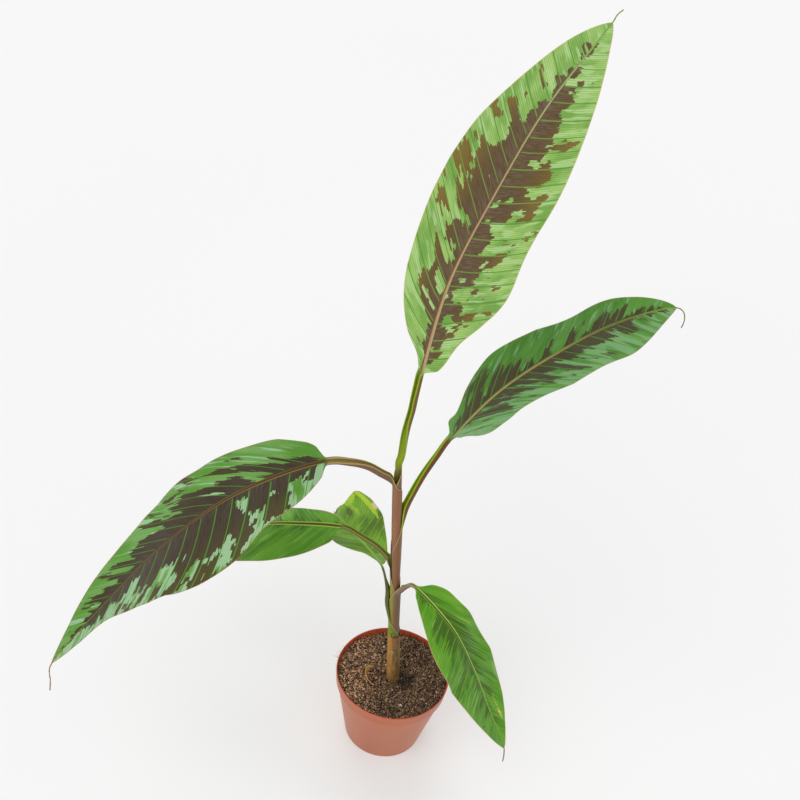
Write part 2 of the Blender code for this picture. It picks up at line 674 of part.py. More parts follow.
def main():
    for obj in list(bpy.data.objects):
        bpy.data.objects.remove(obj)
    parts = new_collection("potted_banana_plant")
    cutters = new_collection("cutters")
    build_pot(parts, cutters)
    build_soil(parts, cutters)
    build_corm(parts)
    build_old_sheath(parts)
    for leaf in LEAVES:
        build_leaf(leaf, parts)
    build_dry_scale(parts)
    cutters.hide_render = True


main()
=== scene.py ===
"""The looks of a young banana plant in its nursery pot.

The solids of the part are loaded as a fixed frame, in metres with +Z up. Finer pieces take the place of
the leaves, the pot, the soil and the dry sheaths, and every surface gets its own procedural finish.
"""

from __future__ import annotations

import logging
import math
import random
from collections.abc import Iterator, Mapping, Sequence
from contextlib import contextmanager
from dataclasses import dataclass, field
from enum import Enum

import bpy
import numpy as np
from bpy.types import Material, Node, NodeSocket, Object
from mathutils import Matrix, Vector, noise

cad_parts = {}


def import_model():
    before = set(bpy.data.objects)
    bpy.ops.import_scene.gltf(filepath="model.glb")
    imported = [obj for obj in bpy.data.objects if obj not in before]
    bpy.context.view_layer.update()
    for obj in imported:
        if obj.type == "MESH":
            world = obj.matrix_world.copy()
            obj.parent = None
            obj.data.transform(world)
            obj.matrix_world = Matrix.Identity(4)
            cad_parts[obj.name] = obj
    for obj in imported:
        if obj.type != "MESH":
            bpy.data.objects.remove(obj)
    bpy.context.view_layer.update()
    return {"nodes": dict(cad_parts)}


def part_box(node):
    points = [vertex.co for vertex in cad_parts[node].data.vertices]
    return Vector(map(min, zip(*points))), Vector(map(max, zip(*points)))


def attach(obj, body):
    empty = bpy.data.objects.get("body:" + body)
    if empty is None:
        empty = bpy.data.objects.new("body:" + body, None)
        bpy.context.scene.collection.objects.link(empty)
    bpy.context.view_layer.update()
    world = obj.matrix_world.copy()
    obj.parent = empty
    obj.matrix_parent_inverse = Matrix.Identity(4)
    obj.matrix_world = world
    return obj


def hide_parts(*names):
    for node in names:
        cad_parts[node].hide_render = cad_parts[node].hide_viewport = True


LOG = logging.getLogger("banana_plant")
BODY = "root"
MM = 0.001
UP = np.array([0.0, 0.0, 1.0])
LEAF_NUMBERS = ("along", "across", "margin", "past", "upper", "zone")
SHARP_FROM = math.radians(38)

Colour = tuple[int, int, int]
Point = tuple[float, float, float]
Inputs = Mapping[int | str, object]
Places = list[tuple[Point, float]]


def linear(colour: Colour) -> tuple[float, ...]:
    """Turns a colour as it is seen, its parts from 0 to 255, into the one that a shader takes."""
    parts = [part / 255 for part in colour]
    return (*(part / 12.92 if part <= 0.04045 else ((part + 0.055) / 1.055) ** 2.4 for part in parts), 1.0)


class Slot(Enum):
    """The record's material slots."""

    POT = "pot"
    SOIL = "soil"
    CORM = "corm"
    DRY_SHEATH = "dry_sheath"
    YOUNG_LEAF = "young_leaf"
    GREEN_LEAF = "green_leaf"
    DARK_LEAF = "dark_leaf"
    LIGHT_LEAF = "light_leaf"


class Value:
    """One number socket of a material. Arithmetic on it adds Math nodes."""

    def __init__(self, shader: Shader, socket: NodeSocket) -> None:
        """Wraps a socket of a shader's material."""
        self.shader = shader
        self.socket = socket

    def __add__(self, other: Value | float) -> Value:
        """The sum."""
        return self.shader.math("ADD", self, other)

    __radd__ = __add__

    def __sub__(self, other: Value | float) -> Value:
        """The difference."""
        return self.shader.math("SUBTRACT", self, other)

    def __rsub__(self, other: Value | float) -> Value:
        """A plain number less this value."""
        return self.shader.math("SUBTRACT", other, self)

    def __mul__(self, other: Value | float) -> Value:
        """The product."""
        return self.shader.math("MULTIPLY", self, other)

    __rmul__ = __mul__

    def __truediv__(self, other: Value | float) -> Value:
        """The quotient."""
        return self.shader.math("DIVIDE", self, other)

    def __pow__(self, other: Value | float) -> Value:
        """This value to a power."""
        return self.shader.math("POWER", self, other)

    def __abs__(self) -> Value:
        """The size without its sign."""
        return self.shader.math("ABSOLUTE", self)

    def floor(self) -> Value:
        """The whole part, towards less."""
        return self.shader.math("FLOOR", self)

    def fract(self) -> Value:
        """What is above the whole part."""
        return self.shader.math("FRACT", self)

    def sine(self) -> Value:
        """The sine of this value in radians."""
        return self.shader.math("SINE", self)

    def sign(self) -> Value:
        """Minus one, nothing or one."""
        return self.shader.math("SIGN", self)

    def least(self, other: Value | float) -> Value:
        """The smaller of the two."""
        return self.shader.math("MINIMUM", self, other)

    def most(self, other: Value | float) -> Value:
        """The larger of the two."""
        return self.shader.math("MAXIMUM", self, other)

    def rise(self, low: float, high: float) -> Value:
        """An even ramp from 0 at low to 1 at high. With high under low it falls.

        Args:
            low: Where the ramp is 0.
            high: Where the ramp is 1.

        Returns:
            The ramp, held between 0 and 1.
        """
        start, end, first, last = (low, high, 0.0, 1.0) if low < high else (high, low, 1.0, 0.0)
        inputs = {"Value": self, "From Min": start, "From Max": end, "To Min": first, "To Max": last}
        return self.shader.number("ShaderNodeMapRange", {"interpolation_type": "SMOOTHSTEP"}, inputs)


class Shader:
    """A material being built from nodes, with one Principled shader."""

    def __init__(self, name: str) -> None:
        """Starts a material with nothing but its shader and its output.

        Args:
            name: The material's name.
        """
        self.material = bpy.data.materials.new(name)
        self.material.use_nodes = True
        self.tree = self.material.node_tree
        self.tree.nodes.clear()
        self.surface = self.add("ShaderNodeBsdfPrincipled", {}, {})
        self.add("ShaderNodeOutputMaterial", {}, {"Surface": self.surface.outputs["BSDF"]})

    def feed(self, node: Node, inputs: Inputs) -> None:
        """Sets or links a node's sockets.

        Args:
            node: The node.
            inputs: Its sockets by name or number, each with a number, a Colour, a socket or a Value.
        """
        for key, value in inputs.items():
            value = value.socket if isinstance(value, Value) else value
            value = linear(value) if isinstance(value, tuple) and len(value) == 3 else value
            if isinstance(value, NodeSocket):
                self.tree.links.new(value, node.inputs[key])
            else:
                node.inputs[key].default_value = value

    def add(self, kind: str, settings: Mapping[str, object], inputs: Inputs) -> Node:
        """Adds a node.

        Args:
            kind: The node's type.
            settings: Its properties, set before its sockets.
            inputs: Its sockets, as for feed.

        Returns:
            The new node.
        """
        node = self.tree.nodes.new(kind)
        for key, value in settings.items():
            setattr(node, key, value)
        self.feed(node, inputs)
        return node

    def number(
        self, kind: str, settings: Mapping[str, object], inputs: Inputs, output: int | str = 0
    ) -> Value:
        """Adds a node and gives one of its outputs as a Value."""
        return Value(self, self.add(kind, settings, inputs).outputs[output])

    def math(self, operation: str, *values: Value | float) -> Value:
        """Adds a Math node for an operation on one or two values."""
        return self.number("ShaderNodeMath", {"operation": operation}, dict(enumerate(values)))

    def read(self, attribute: str) -> Value:
        """Reads a number that the piece's mesh holds for each of its points."""
        settings = {"attribute_type": "GEOMETRY", "attribute_name": attribute}
        return self.number("ShaderNodeAttribute", settings, {}, "Fac")

    def place(self) -> tuple[Value, Value, Value]:
        """Reads the place on the piece.

        Returns:
            The three coordinates, in metres.
        """
        where = self.add("ShaderNodeTexCoord", {}, {}).outputs["Object"]
        node = self.add("ShaderNodeSeparateXYZ", {}, {"Vector": where})
        return Value(self, node.outputs[0]), Value(self, node.outputs[1]), Value(self, node.outputs[2])

    def point(self, x: Value | float, y: Value | float, z: Value | float) -> NodeSocket:
        """Puts three values together as one vector."""
        return self.add("ShaderNodeCombineXYZ", {}, {0: x, 1: y, 2: z}).outputs[0]

    def cloud(
        self, where: NodeSocket, scale: float = 1.0, detail: float = 2.0, rough: float = 0.5
    ) -> Value:
        """Soft noise from 0 to 1, mostly near a half, with about scale features to a unit of the vector."""
        inputs = {"Vector": where, "Scale": scale, "Detail": detail, "Roughness": rough}
        return self.number("ShaderNodeTexNoise", {}, inputs)

    def grain(self, x: Value, y: Value, z: Value | float, detail: float) -> Value:
        """Soft noise with about one feature to a unit of each value."""
        return self.cloud(self.point(x, y, z), 1.0, detail)

    def chance(self, number: Value) -> Value:
        """A random value from 0 to 1 for each number."""
        return self.number("ShaderNodeTexWhiteNoise", {"noise_dimensions": "1D"}, {"W": number}, "Value")

    def pick(self, side: Value, left: float, right: float) -> Value:
        """One number on the left half, where the side is -1, and another on the right half."""
        return (side + 1.0) * ((right - left) / 2.0) + left

    def blend(
        self, share: Value | float, first: object, second: object, mode: str = "MIX"
    ) -> NodeSocket:
        """Mixes two colours or colour sockets, where share says how much of the second shows."""
        settings = {"data_type": "RGBA", "blend_type": mode, "clamp_factor": True}
        return self.add("ShaderNodeMix", settings, {0: share, 6: first, 7: second}).outputs[2]

    def shade(self, colour: object, gain: Value) -> NodeSocket:
        """Makes a colour darker or lighter by a factor round 1."""
        return self.blend(1.0, colour, self.point(gain, gain, gain), "MULTIPLY")

    def close(
        self,
        colour: object,
        roughness: Value | float,
        height: Value | None = None,
        relief: float = 0.0002,
        fixed: Inputs | None = None,
    ) -> Material:
        """Links the finish to the shader.

        Args:
            colour: The base colour.
            roughness: The roughness.
            height: The fine relief, from 0 to 1.
            relief: How deep the relief is, in metres.
            fixed: Other sockets of the shader that are the same all over.

        Returns:
            The finished material.
        """
        inputs: dict[int | str, object] = {"Base Color": colour, "Roughness": roughness, **(fixed or {})}
        if height is not None:
            bump = self.add("ShaderNodeBump", {}, {"Strength": 1.0, "Distance": relief, "Height": height})
            inputs["Normal"] = bump.outputs[0]
        self.feed(self.surface, inputs)
        return self.material


def smooth_step(value: np.ndarray | float) -> np.ndarray:
    """0 up to 0, 1 from 1 on, with an even ramp between."""
    held = np.clip(value, 0.0, 1.0)
    return held * held * (3.0 - 2.0 * held)


def unit(vectors: np.ndarray) -> np.ndarray:
    """The vectors at length one."""
    return vectors / np.linalg.norm(vectors, axis=-1, keepdims=True)


def smooth_line(points: Sequence[Sequence[float]] | np.ndarray, step: float) -> np.ndarray:
    """A centripetal Catmull-Rom curve through points.

    Args:
        points: What it passes through.
        step: About how far apart it is read off.

    Returns:
        The points of the curve, one to a row.
    """
    points = np.asarray(points, float)
    ends = np.vstack([2 * points[0] - points[1], points, 2 * points[-1] - points[-2]])
    curve = []
    for p0, p1, p2, p3 in zip(ends, ends[1:], ends[2:], ends[3:]):
        t1 = math.sqrt(np.linalg.norm(p1 - p0))
        t2 = t1 + math.sqrt(np.linalg.norm(p2 - p1))
        t3 = t2 + math.sqrt(np.linalg.norm(p3 - p2))
        count = max(2, math.ceil(np.linalg.norm(p2 - p1) / step))
        t = np.linspace(t1, t2, count, endpoint=False)[:, None]
        a1 = (t1 - t) / t1 * p0 + t / t1 * p1
        a2 = (t2 - t) / (t2 - t1) * p1 + (t - t1) / (t2 - t1) * p2
        a3 = (t3 - t) / (t3 - t2) * p2 + (t - t2) / (t3 - t2) * p3
        b1 = (t2 - t) / t2 * a1 + t / t2 * a2
        b2 = (t3 - t) / (t3 - t1) * a2 + (t - t1) / (t3 - t1) * a3
        curve.append((t2 - t) / (t2 - t1) * b1 + (t - t1) / (t2 - t1) * b2)
    return np.vstack(curve + [points[-1:]])


def lengths_along(line: np.ndarray) -> np.ndarray:
    """The length of a line up to each of its points."""
    return np.concatenate([[0.0], np.cumsum(np.linalg.norm(np.diff(line, axis=0), axis=1))])


def read_line(line: np.ndarray, at: np.ndarray) -> np.ndarray:
    """The points that lie the given lengths along a line."""
    along = lengths_along(line)
    return np.stack([np.interp(at, along, line[:, axis]) for axis in range(3)], axis=1)


def knots(values: Sequence[float], at: np.ndarray) -> np.ndarray:
    """A smooth reading of evenly spaced values.

    Args:
        values: The values, the first at 0 and the last at 1. They change by less than their spacing or so.
        at: Where they are read.

    Returns:
        The readings.
    """
    places = np.linspace(0.0, 1.0, len(values))
    padded = np.column_stack([places, values, np.zeros(len(values))])
    curve = smooth_line(padded, 0.02)
    return np.interp(at, curve[:, 0], curve[:, 1])


def paint(piece: Object, material: Material) -> None:
    """Gives a piece, or a solid that is kept, its finish.

    Args:
        piece: The piece.
        material: The finish.
    """
    piece.data.materials.clear()
    piece.data.materials.append(material)
    LOG.info("%s: %d faces, %s", piece.name, len(piece.data.polygons), material.name)


def settle(piece: Object, nodes: Sequence[str], material: Material) -> None:
    """Gives a finished piece its material, its body and the solids that it stands for.

    Args:
        piece: The piece, in place.
        nodes: The solids that it replaces.
        material: Its finish.
    """
    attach(piece, BODY)
    if nodes:
        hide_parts(*nodes)
    paint(piece, material)


def mesh_piece(name: str, vertices: np.ndarray, faces: Sequence[Sequence[int]]) -> Object:
    """Makes an object from points and faces, shaded smooth.

    Args:
        name: The object's name.
        vertices: Its points.
        faces: Its faces, each a list of point numbers.

    Returns:
        The new object, in the scene.
    """
    mesh = bpy.data.meshes.new(name)
    mesh.from_pydata(vertices.tolist(), [], [tuple(int(i) for i in face) for face in faces])
    mesh.shade_smooth()
    piece = bpy.data.objects.new(name, mesh)
    bpy.context.scene.collection.objects.link(piece)
    return piece


def deselect_all() -> None:
    """Leaves nothing selected or active."""
    for other in bpy.context.selected_objects:
        other.select_set(False)
    bpy.context.view_layer.objects.active = None


def select_only(piece: Object) -> None:
    """Leaves one piece selected and active."""
    deselect_all()
    piece.select_set(True)
    bpy.context.view_layer.objects.active = piece


def take_new(name: str) -> Object:
    """Names the primitive that was just added, and gives its object."""
    bpy.context.object.name = bpy.context.object.data.name = name
    return bpy.context.object


@contextmanager
def editing(piece: Object) -> Iterator[None]:
    """Edit mode on one piece, with all of it selected, and object mode again after it.

    Args:
        piece: The piece.

    Yields:
        Nothing.
    """
    select_only(piece)
    bpy.ops.object.mode_set(mode="EDIT")
    bpy.ops.mesh.select_all(action="SELECT")
    try:
        yield
    finally:
        bpy.ops.object.mode_set(mode="OBJECT")


def apply_all(piece: Object) -> None:
    """Applies a piece's place and its modifiers, and shades it smooth up to its sharp edges.

    Args:
        piece: The piece.
    """
    select_only(piece)
    bpy.ops.object.transform_apply(location=True, rotation=True, scale=True)
    for modifier in list(piece.modifiers):
        bpy.ops.object.modifier_apply(modifier=modifier.name)
    bpy.ops.object.shade_smooth_by_angle(angle=SHARP_FROM)


def hold_in_box(piece: Object, node: str) -> None:
    """Keeps a piece's points inside the box of the solid that it stands for.

    Args:
        piece: The piece.
        node: The solid's name.
    """
    low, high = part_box(node)
    for vertex in piece.data.vertices:
        vertex.co = Vector(min(max(c, a), b) for c, a, b in zip(vertex.co, low, high))


def drawn_and_spun(name: str, profile: Sequence[tuple[float, float]], steps: int) -> Object:
    """Draws a profile point by point by extrusion, and spins it once round Z.

    Args:
        name: The object's name.
        profile: Radius and height of each point.
        steps: How many steps the spin has.

    Returns:
        The turned object, in object mode.
    """
    deselect_all()
    bpy.ops.mesh.primitive_plane_add(size=MM, location=(profile[0][0], 0.0, profile[0][1]))
    piece = take_new(name)
    bpy.ops.object.transform_apply(location=True, rotation=False, scale=False)
    with editing(piece):
        bpy.ops.mesh.merge(type="CENTER")
        bpy.ops.mesh.select_all(action="SELECT")
        for (radius, height), (next_radius, next_height) in zip(profile, profile[1:]):
            step = {"value": (next_radius - radius, 0.0, next_height - height)}
            bpy.ops.mesh.extrude_vertices_move(TRANSFORM_OT_translate=step)
        bpy.ops.mesh.select_all(action="SELECT")
        bpy.ops.mesh.spin(steps=steps, angle=2 * math.pi, center=(0, 0, 0), axis=(0, 0, 1))
        bpy.ops.mesh.select_all(action="SELECT")
        bpy.ops.mesh.remove_doubles(threshold=1e-6)
        bpy.ops.mesh.normals_make_consistent(inside=False)
    return piece


@dataclass(frozen=True)
class View:
    """The camera, and the way back from the photograph's frame to the object."""

    place: Point = (-0.041, -1.0322, 1.4278)
    tilt: float = math.radians(42.5)
    roll: float = math.radians(9.7)
    lens: float = 70.65
    sensor: float = 36.0
    nearest: float = 0.05
    frame_side: int = 800

    def axes(self) -> tuple[Vector, Vector, Vector]:
        """Works out how the camera is turned.

        Returns:
            Its right, up and forward directions.
        """
        forward = Vector((0.0, math.cos(self.tilt), -math.sin(self.tilt)))
        level_up = Vector((0.0, math.sin(self.tilt), math.cos(self.tilt)))
        level_right = Vector((1.0, 0.0, 0.0))
        right = level_right * math.cos(self.roll) + level_up * math.sin(self.roll)
        up = level_up * math.cos(self.roll) - level_right * math.sin(self.roll)
        return right, up, forward

    def build(self) -> None:
        """Makes the scene's camera."""
        right, up, forward = self.axes()
        camera = bpy.data.objects.new("camera", bpy.data.cameras.new("camera"))
        bpy.context.scene.collection.objects.link(camera)
        camera.data.lens = self.lens
        camera.data.sensor_width = self.sensor
        camera.data.clip_start = self.nearest
        camera.location = self.place
        matrix = camera.matrix_world.to_3x3()
        matrix.col[0], matrix.col[1], matrix.col[2] = right, up, -forward
        camera.rotation_euler = matrix.to_euler()
        bpy.context.scene.camera = camera

    def at_height(self, column: float, row: float, height: float) -> Vector:
        """The point of a level plane that shows at a place of the photograph.

        Args:
            column: The place across the photograph, in its pixels.
            row: The place down it.
            height: The plane's height, in metres.

        Returns:
            The point.
        """
        right, up, forward = self.axes()
        focal = self.lens / self.sensor * self.frame_side
        middle = self.frame_side / 2
        ray = forward * focal + right * (column - middle) + up * (middle - row)
        start = Vector(self.place)
        return start + ray * ((height - start.z) / ray.z)


@dataclass(frozen=True)
class Stem:
    """The false stem: where its sheaths stand, one inside the other."""

    foot: Point = (0.0041, 0.0, 0.06)
    lean: float = math.radians(6.15)
    radius: float = 0.0078
    wall: float = 0.0006
    pitch: float = 0.00098
    sides: int = 11
    flare: float = 0.0026
    flare_span: tuple[float, float] = (0.1, 0.27)
    waist: float = 0.0006
    waist_to: float = 0.09
    shown_half: float = 0.0058

    @property
    def axis(self) -> np.ndarray:
        """The direction that the stem grows in."""
        return np.array([-math.sin(self.lean), 0.0, math.cos(self.lean)])

    def point(self, height: float) -> np.ndarray:
        """The middle of the stem at a length from its foot."""
        return np.array(self.foot) + self.axis * height

    def radius_of(self, layer: int, height: float) -> float:
        """The radius of the middle of a sheath's wall.

        Args:
            layer: Which sheath, where 0 is the dry one outside.
            height: The length from the stem's foot.

        Returns:
            The radius.
        """
        low, high = self.flare_span
        swell = self.flare * smooth_step((height - low) / (high - low))
        waist = self.waist * smooth_step(height / self.waist_to)
        return self.radius - self.wall / 2 - layer * self.pitch + float(swell - waist)

    def outwards(self, side: float) -> np.ndarray:
        """The direction of one of the stem's sides, square to its axis.

        Args:
            side: The side's number, from 0 on the right and on round the stem.

        Returns:
            The direction.
        """
        bearing = 2 * math.pi * side / self.sides
        across = np.array([math.cos(self.lean), 0.0, math.sin(self.lean)])
        return across * math.cos(bearing) + np.array([0.0, 1.0, 0.0]) * math.sin(bearing)


@dataclass
class Section:
    """A cut across a leaf strip, from its left edge to its right one."""

    points: np.ndarray
    normals: np.ndarray
    thickness: np.ndarray
    across: np.ndarray
    margin: np.ndarray

    def mixed(self, other: Section, share: float) -> Section:
        """A cut part of the way from this one to another.

        Args:
            other: The other cut.
            share: How far towards it.

        Returns:
            The cut between them.
        """
        pairs = zip(vars(self).values(), vars(other).values())
        points, normals, *rest = (a + (b - a) * share for a, b in pairs)
        return Section(points, unit(normals), *rest)


@dataclass(frozen=True)
class Veins:
    """The side veins: how they lean to the tip, more so outwards, and how far apart they are."""

    left: float = 0.5
    right: float = 0.5
    bend: float = 3.5
    pitch: float = 0.0115
    sways: tuple[tuple[float, float], ...] = ((0.0014, 0.017), (0.0008, 0.0071))


@dataclass(frozen=True)
class Strip:
    """How every leaf strip is cut: sizes in metres, angles in radians."""

    half_columns: int = 17
    rib_columns: int = 6
    mouth_roll: float = math.radians(75.0)
    petiole_roll: float = math.radians(145.0)
    petiole_wall: float = 0.0015
    parting: float = 0.009
    unrolling: tuple[float, float] = (0.25, 0.85)
    twist_from: float = 0.4
    blade_thickness: float = 0.00055
    rib_half_width: float = 0.0013
    rib_taper: float = 0.5
    rib_groove: float = 0.0005
    rib_depth_at_tip: float = 0.0009
    blade_base: float = 0.01
    lobe_crowding: float = 0.6
    steady: float = 0.4
    base_half_width: float = 0.002
    thread_half_width: float = 0.0006
    thread_thickness: float = 0.0007
    cup: float = 1.3
    vein_relief: float = 0.00022
    edge_wave: float = 0.0005

    def rolled(self, radius: float, half_roll: float, wall: float) -> Section:
        """A strip rolled round its keel.

        Args:
            radius: The roll's radius.
            half_roll: The angle from the keel to either edge.
            wall: The strip's thickness away from its edges.

        Returns:
            The cut.
        """
        share = np.linspace(-1.0, 1.0, 2 * self.half_columns + 1)
        turn = share * half_roll
        points = np.stack([radius * np.sin(turn), radius - radius * np.cos(turn)], axis=1)
        normals = np.stack([-np.sin(turn), np.cos(turn)], axis=1)
        rounded = wall * np.sqrt(1 - 0.85 * share**8)
        across = radius * turn
        return Section(points, normals, rounded, across, radius * half_roll - np.abs(across))

    def _half_blade(self, half: float, lift: float, rib: float, taper: float) -> tuple[np.ndarray, ...]:
        """Works out one half of a blade's cut, from the midrib out.

        Args:
            half: The half's width.
            lift: How far it bends up, in radians.
            rib: The midrib's depth.
            taper: The midrib's width over its full width.

        Returns:
            The points, and for each its thickness, how far it is sunk and how far out it is.
        """
        rib_half = min(self.rib_half_width * taper, half / 5)
        inner = 2 * rib_half * np.arange(self.rib_columns + 1) / self.rib_columns
        outer = np.linspace(inner[-1], half, self.half_columns - self.rib_columns + 1)[1:]
        out = np.concatenate([inner, outer])
        raised = half * math.sin(lift) * (out / half) ** self.cup
        points = np.stack([out * math.cos(lift), raised], axis=1)
        swell = 0.5 + 0.5 * np.cos(math.pi * np.clip(out / inner[-1], 0, 1))
        plain = self.blade_thickness * np.sqrt(1 - 0.8 * (out / half) ** 6)
        thickness = plain + (rib - self.blade_thickness) * swell
        groove = 1 - smooth_step((out / rib_half - 0.45) / 0.75)
        sunk = (rib - self.blade_thickness) / 2 * swell + self.rib_groove * groove * min(1.0, rib / 0.0012)
        return points, thickness, sunk, out

    def blade(self, halves: Sequence[float], lifts: Sequence[float], rib: float, taper: float) -> Section:
        """A blade spread to both sides of its midrib.

        Args:
            halves: The left and the right half's width.
            lifts: How far each half bends up, in radians.
            rib: The midrib's depth.
            taper: The midrib's width over its full width.

        Returns:
            The cut.
        """
        left, right = (self._half_blade(half, lift, rib, taper) for half, lift in zip(halves, lifts))
        points = np.vstack([left[0][::-1] * (-1, 1), right[0][1:]])
        thickness, sunk, out = (np.concatenate([a[::-1], b[1:]]) for a, b in zip(left[1:], right[1:]))
        side = np.sign(np.arange(len(out)) - self.half_columns)
        along = unit(np.gradient(points, axis=0))
        normals = np.stack([-along[:, 1], along[:, 0]], axis=1)
        half = np.where(side < 0, halves[0], halves[1])
        return Section(points - normals * sunk[:, None], normals, thickness, out * side, half - out)

    def vein_place(self, along: float, across: np.ndarray, veins: Veins) -> np.ndarray:
        """Finds which side vein a place on the blade lies by.

        Args:
            along: How far along the midrib the cut is.
            across: How far from the midrib each of its points is, to the left below 0.
            veins: The side veins.

        Returns:
            For each point, the length along the midrib where its vein starts.
        """
        reach = np.abs(across)
        place = along - reach * (np.where(across < 0, veins.left, veins.right) + veins.bend * reach)
        swayed = place
        for amount, length in veins.sways:
            swayed = swayed + amount * np.sin(place / length)
        return swayed

    def relief(self, along: float, cut: Section, seed: float, veins: Veins) -> np.ndarray:
        """Works out the swelling between the side veins and the wave of the edge.

        Args:
            along: How far along the midrib the cut is.
            cut: The cut.
            seed: What sets one leaf's wave apart from another's.
            veins: The side veins.

        Returns:
            How far each point of the cut stands out.
        """
        reach = np.abs(cut.across)
        bands = self.vein_place(along, cut.across, veins) / veins.pitch
        puffed = np.abs(np.sin(math.pi * bands)) ** 0.7 - 0.6
        inside = smooth_step((reach - 0.0026) / 0.005) * smooth_step(cut.margin / 0.006)
        wave = np.array([noise.noise(Vector((along / 0.021, side * 3.1, seed))) for side in (-1.0, 1.0)])
        edge = smooth_step(1 - cut.margin / 0.014) * smooth_step(reach / 0.012)
        waves = self.edge_wave * edge * wave[(cut.across > 0).astype(int)]
        return self.vein_relief * puffed * inside + waves


class OnLeaf:
    """Where on its leaf a point lies, as the leaf's material reads it. Lengths are in millimetres."""

    def __init__(self, shader: Shader, veins: Veins, length: float) -> None:
        """Reads what the leaf's mesh holds and works out what the side veins give.

        Args:
            shader: The material's shader.
            veins: The leaf's side veins.
            length: The blade's length, in metres.
        """
        self.shader = shader
        numbers = (shader.read(name) for name in LEAF_NUMBERS)
        self.along, self.across, self.margin, self.past, self.upper, self.zone = numbers
        self.t = self.along / (length / MM)
        self.reach = abs(self.across)
        self.side = self.across.sign()
        self.share = self.reach / (self.reach + self.margin).most(0.2)
        slope = shader.pick(self.side, veins.left, veins.right)
        place = self.along - self.reach * (slope + veins.bend * MM * self.reach)
        self.place = place
        for amount, wave in veins.sways:
            self.place = self.place + amount / MM * (place / (wave / MM)).sine()
        pitch = veins.pitch / MM
        band = (self.place / pitch).fract()
        from_vein = abs(band - band.rise(0.499, 0.501)) * pitch
        self.vein = from_vein.rise(0.85, 0.35) * self.reach.rise(1.5, 4.0) * self.t.rise(1.0, 0.85)
        wander = self.cloud(9.0, 30.0, self.side, 0.0)
        self.fine_line = abs((self.place / 2.3 + 0.5 * wander).fract() - 0.5) * 2.0
        self.hair_line = abs((self.place / 0.95 + 0.8 * wander).fract() - 0.5) * 2.0

    def cloud(self, length: float, width: float, seed: Value | float, detail: float) -> Value:
        """Soft noise that is stretched along the side veins, its features length by width."""
        return self.shader.grain(self.place / length, self.reach / width, seed, detail)


@dataclass(frozen=True)
class Spot:
    """A mark at one place of a blade. Lengths are in millimetres."""

    colour: Colour
    along: float
    across: float
    length: float
    width: float
    strength: float = 1.0
    ragged: float = 0.35
    sparse: float = 0.0


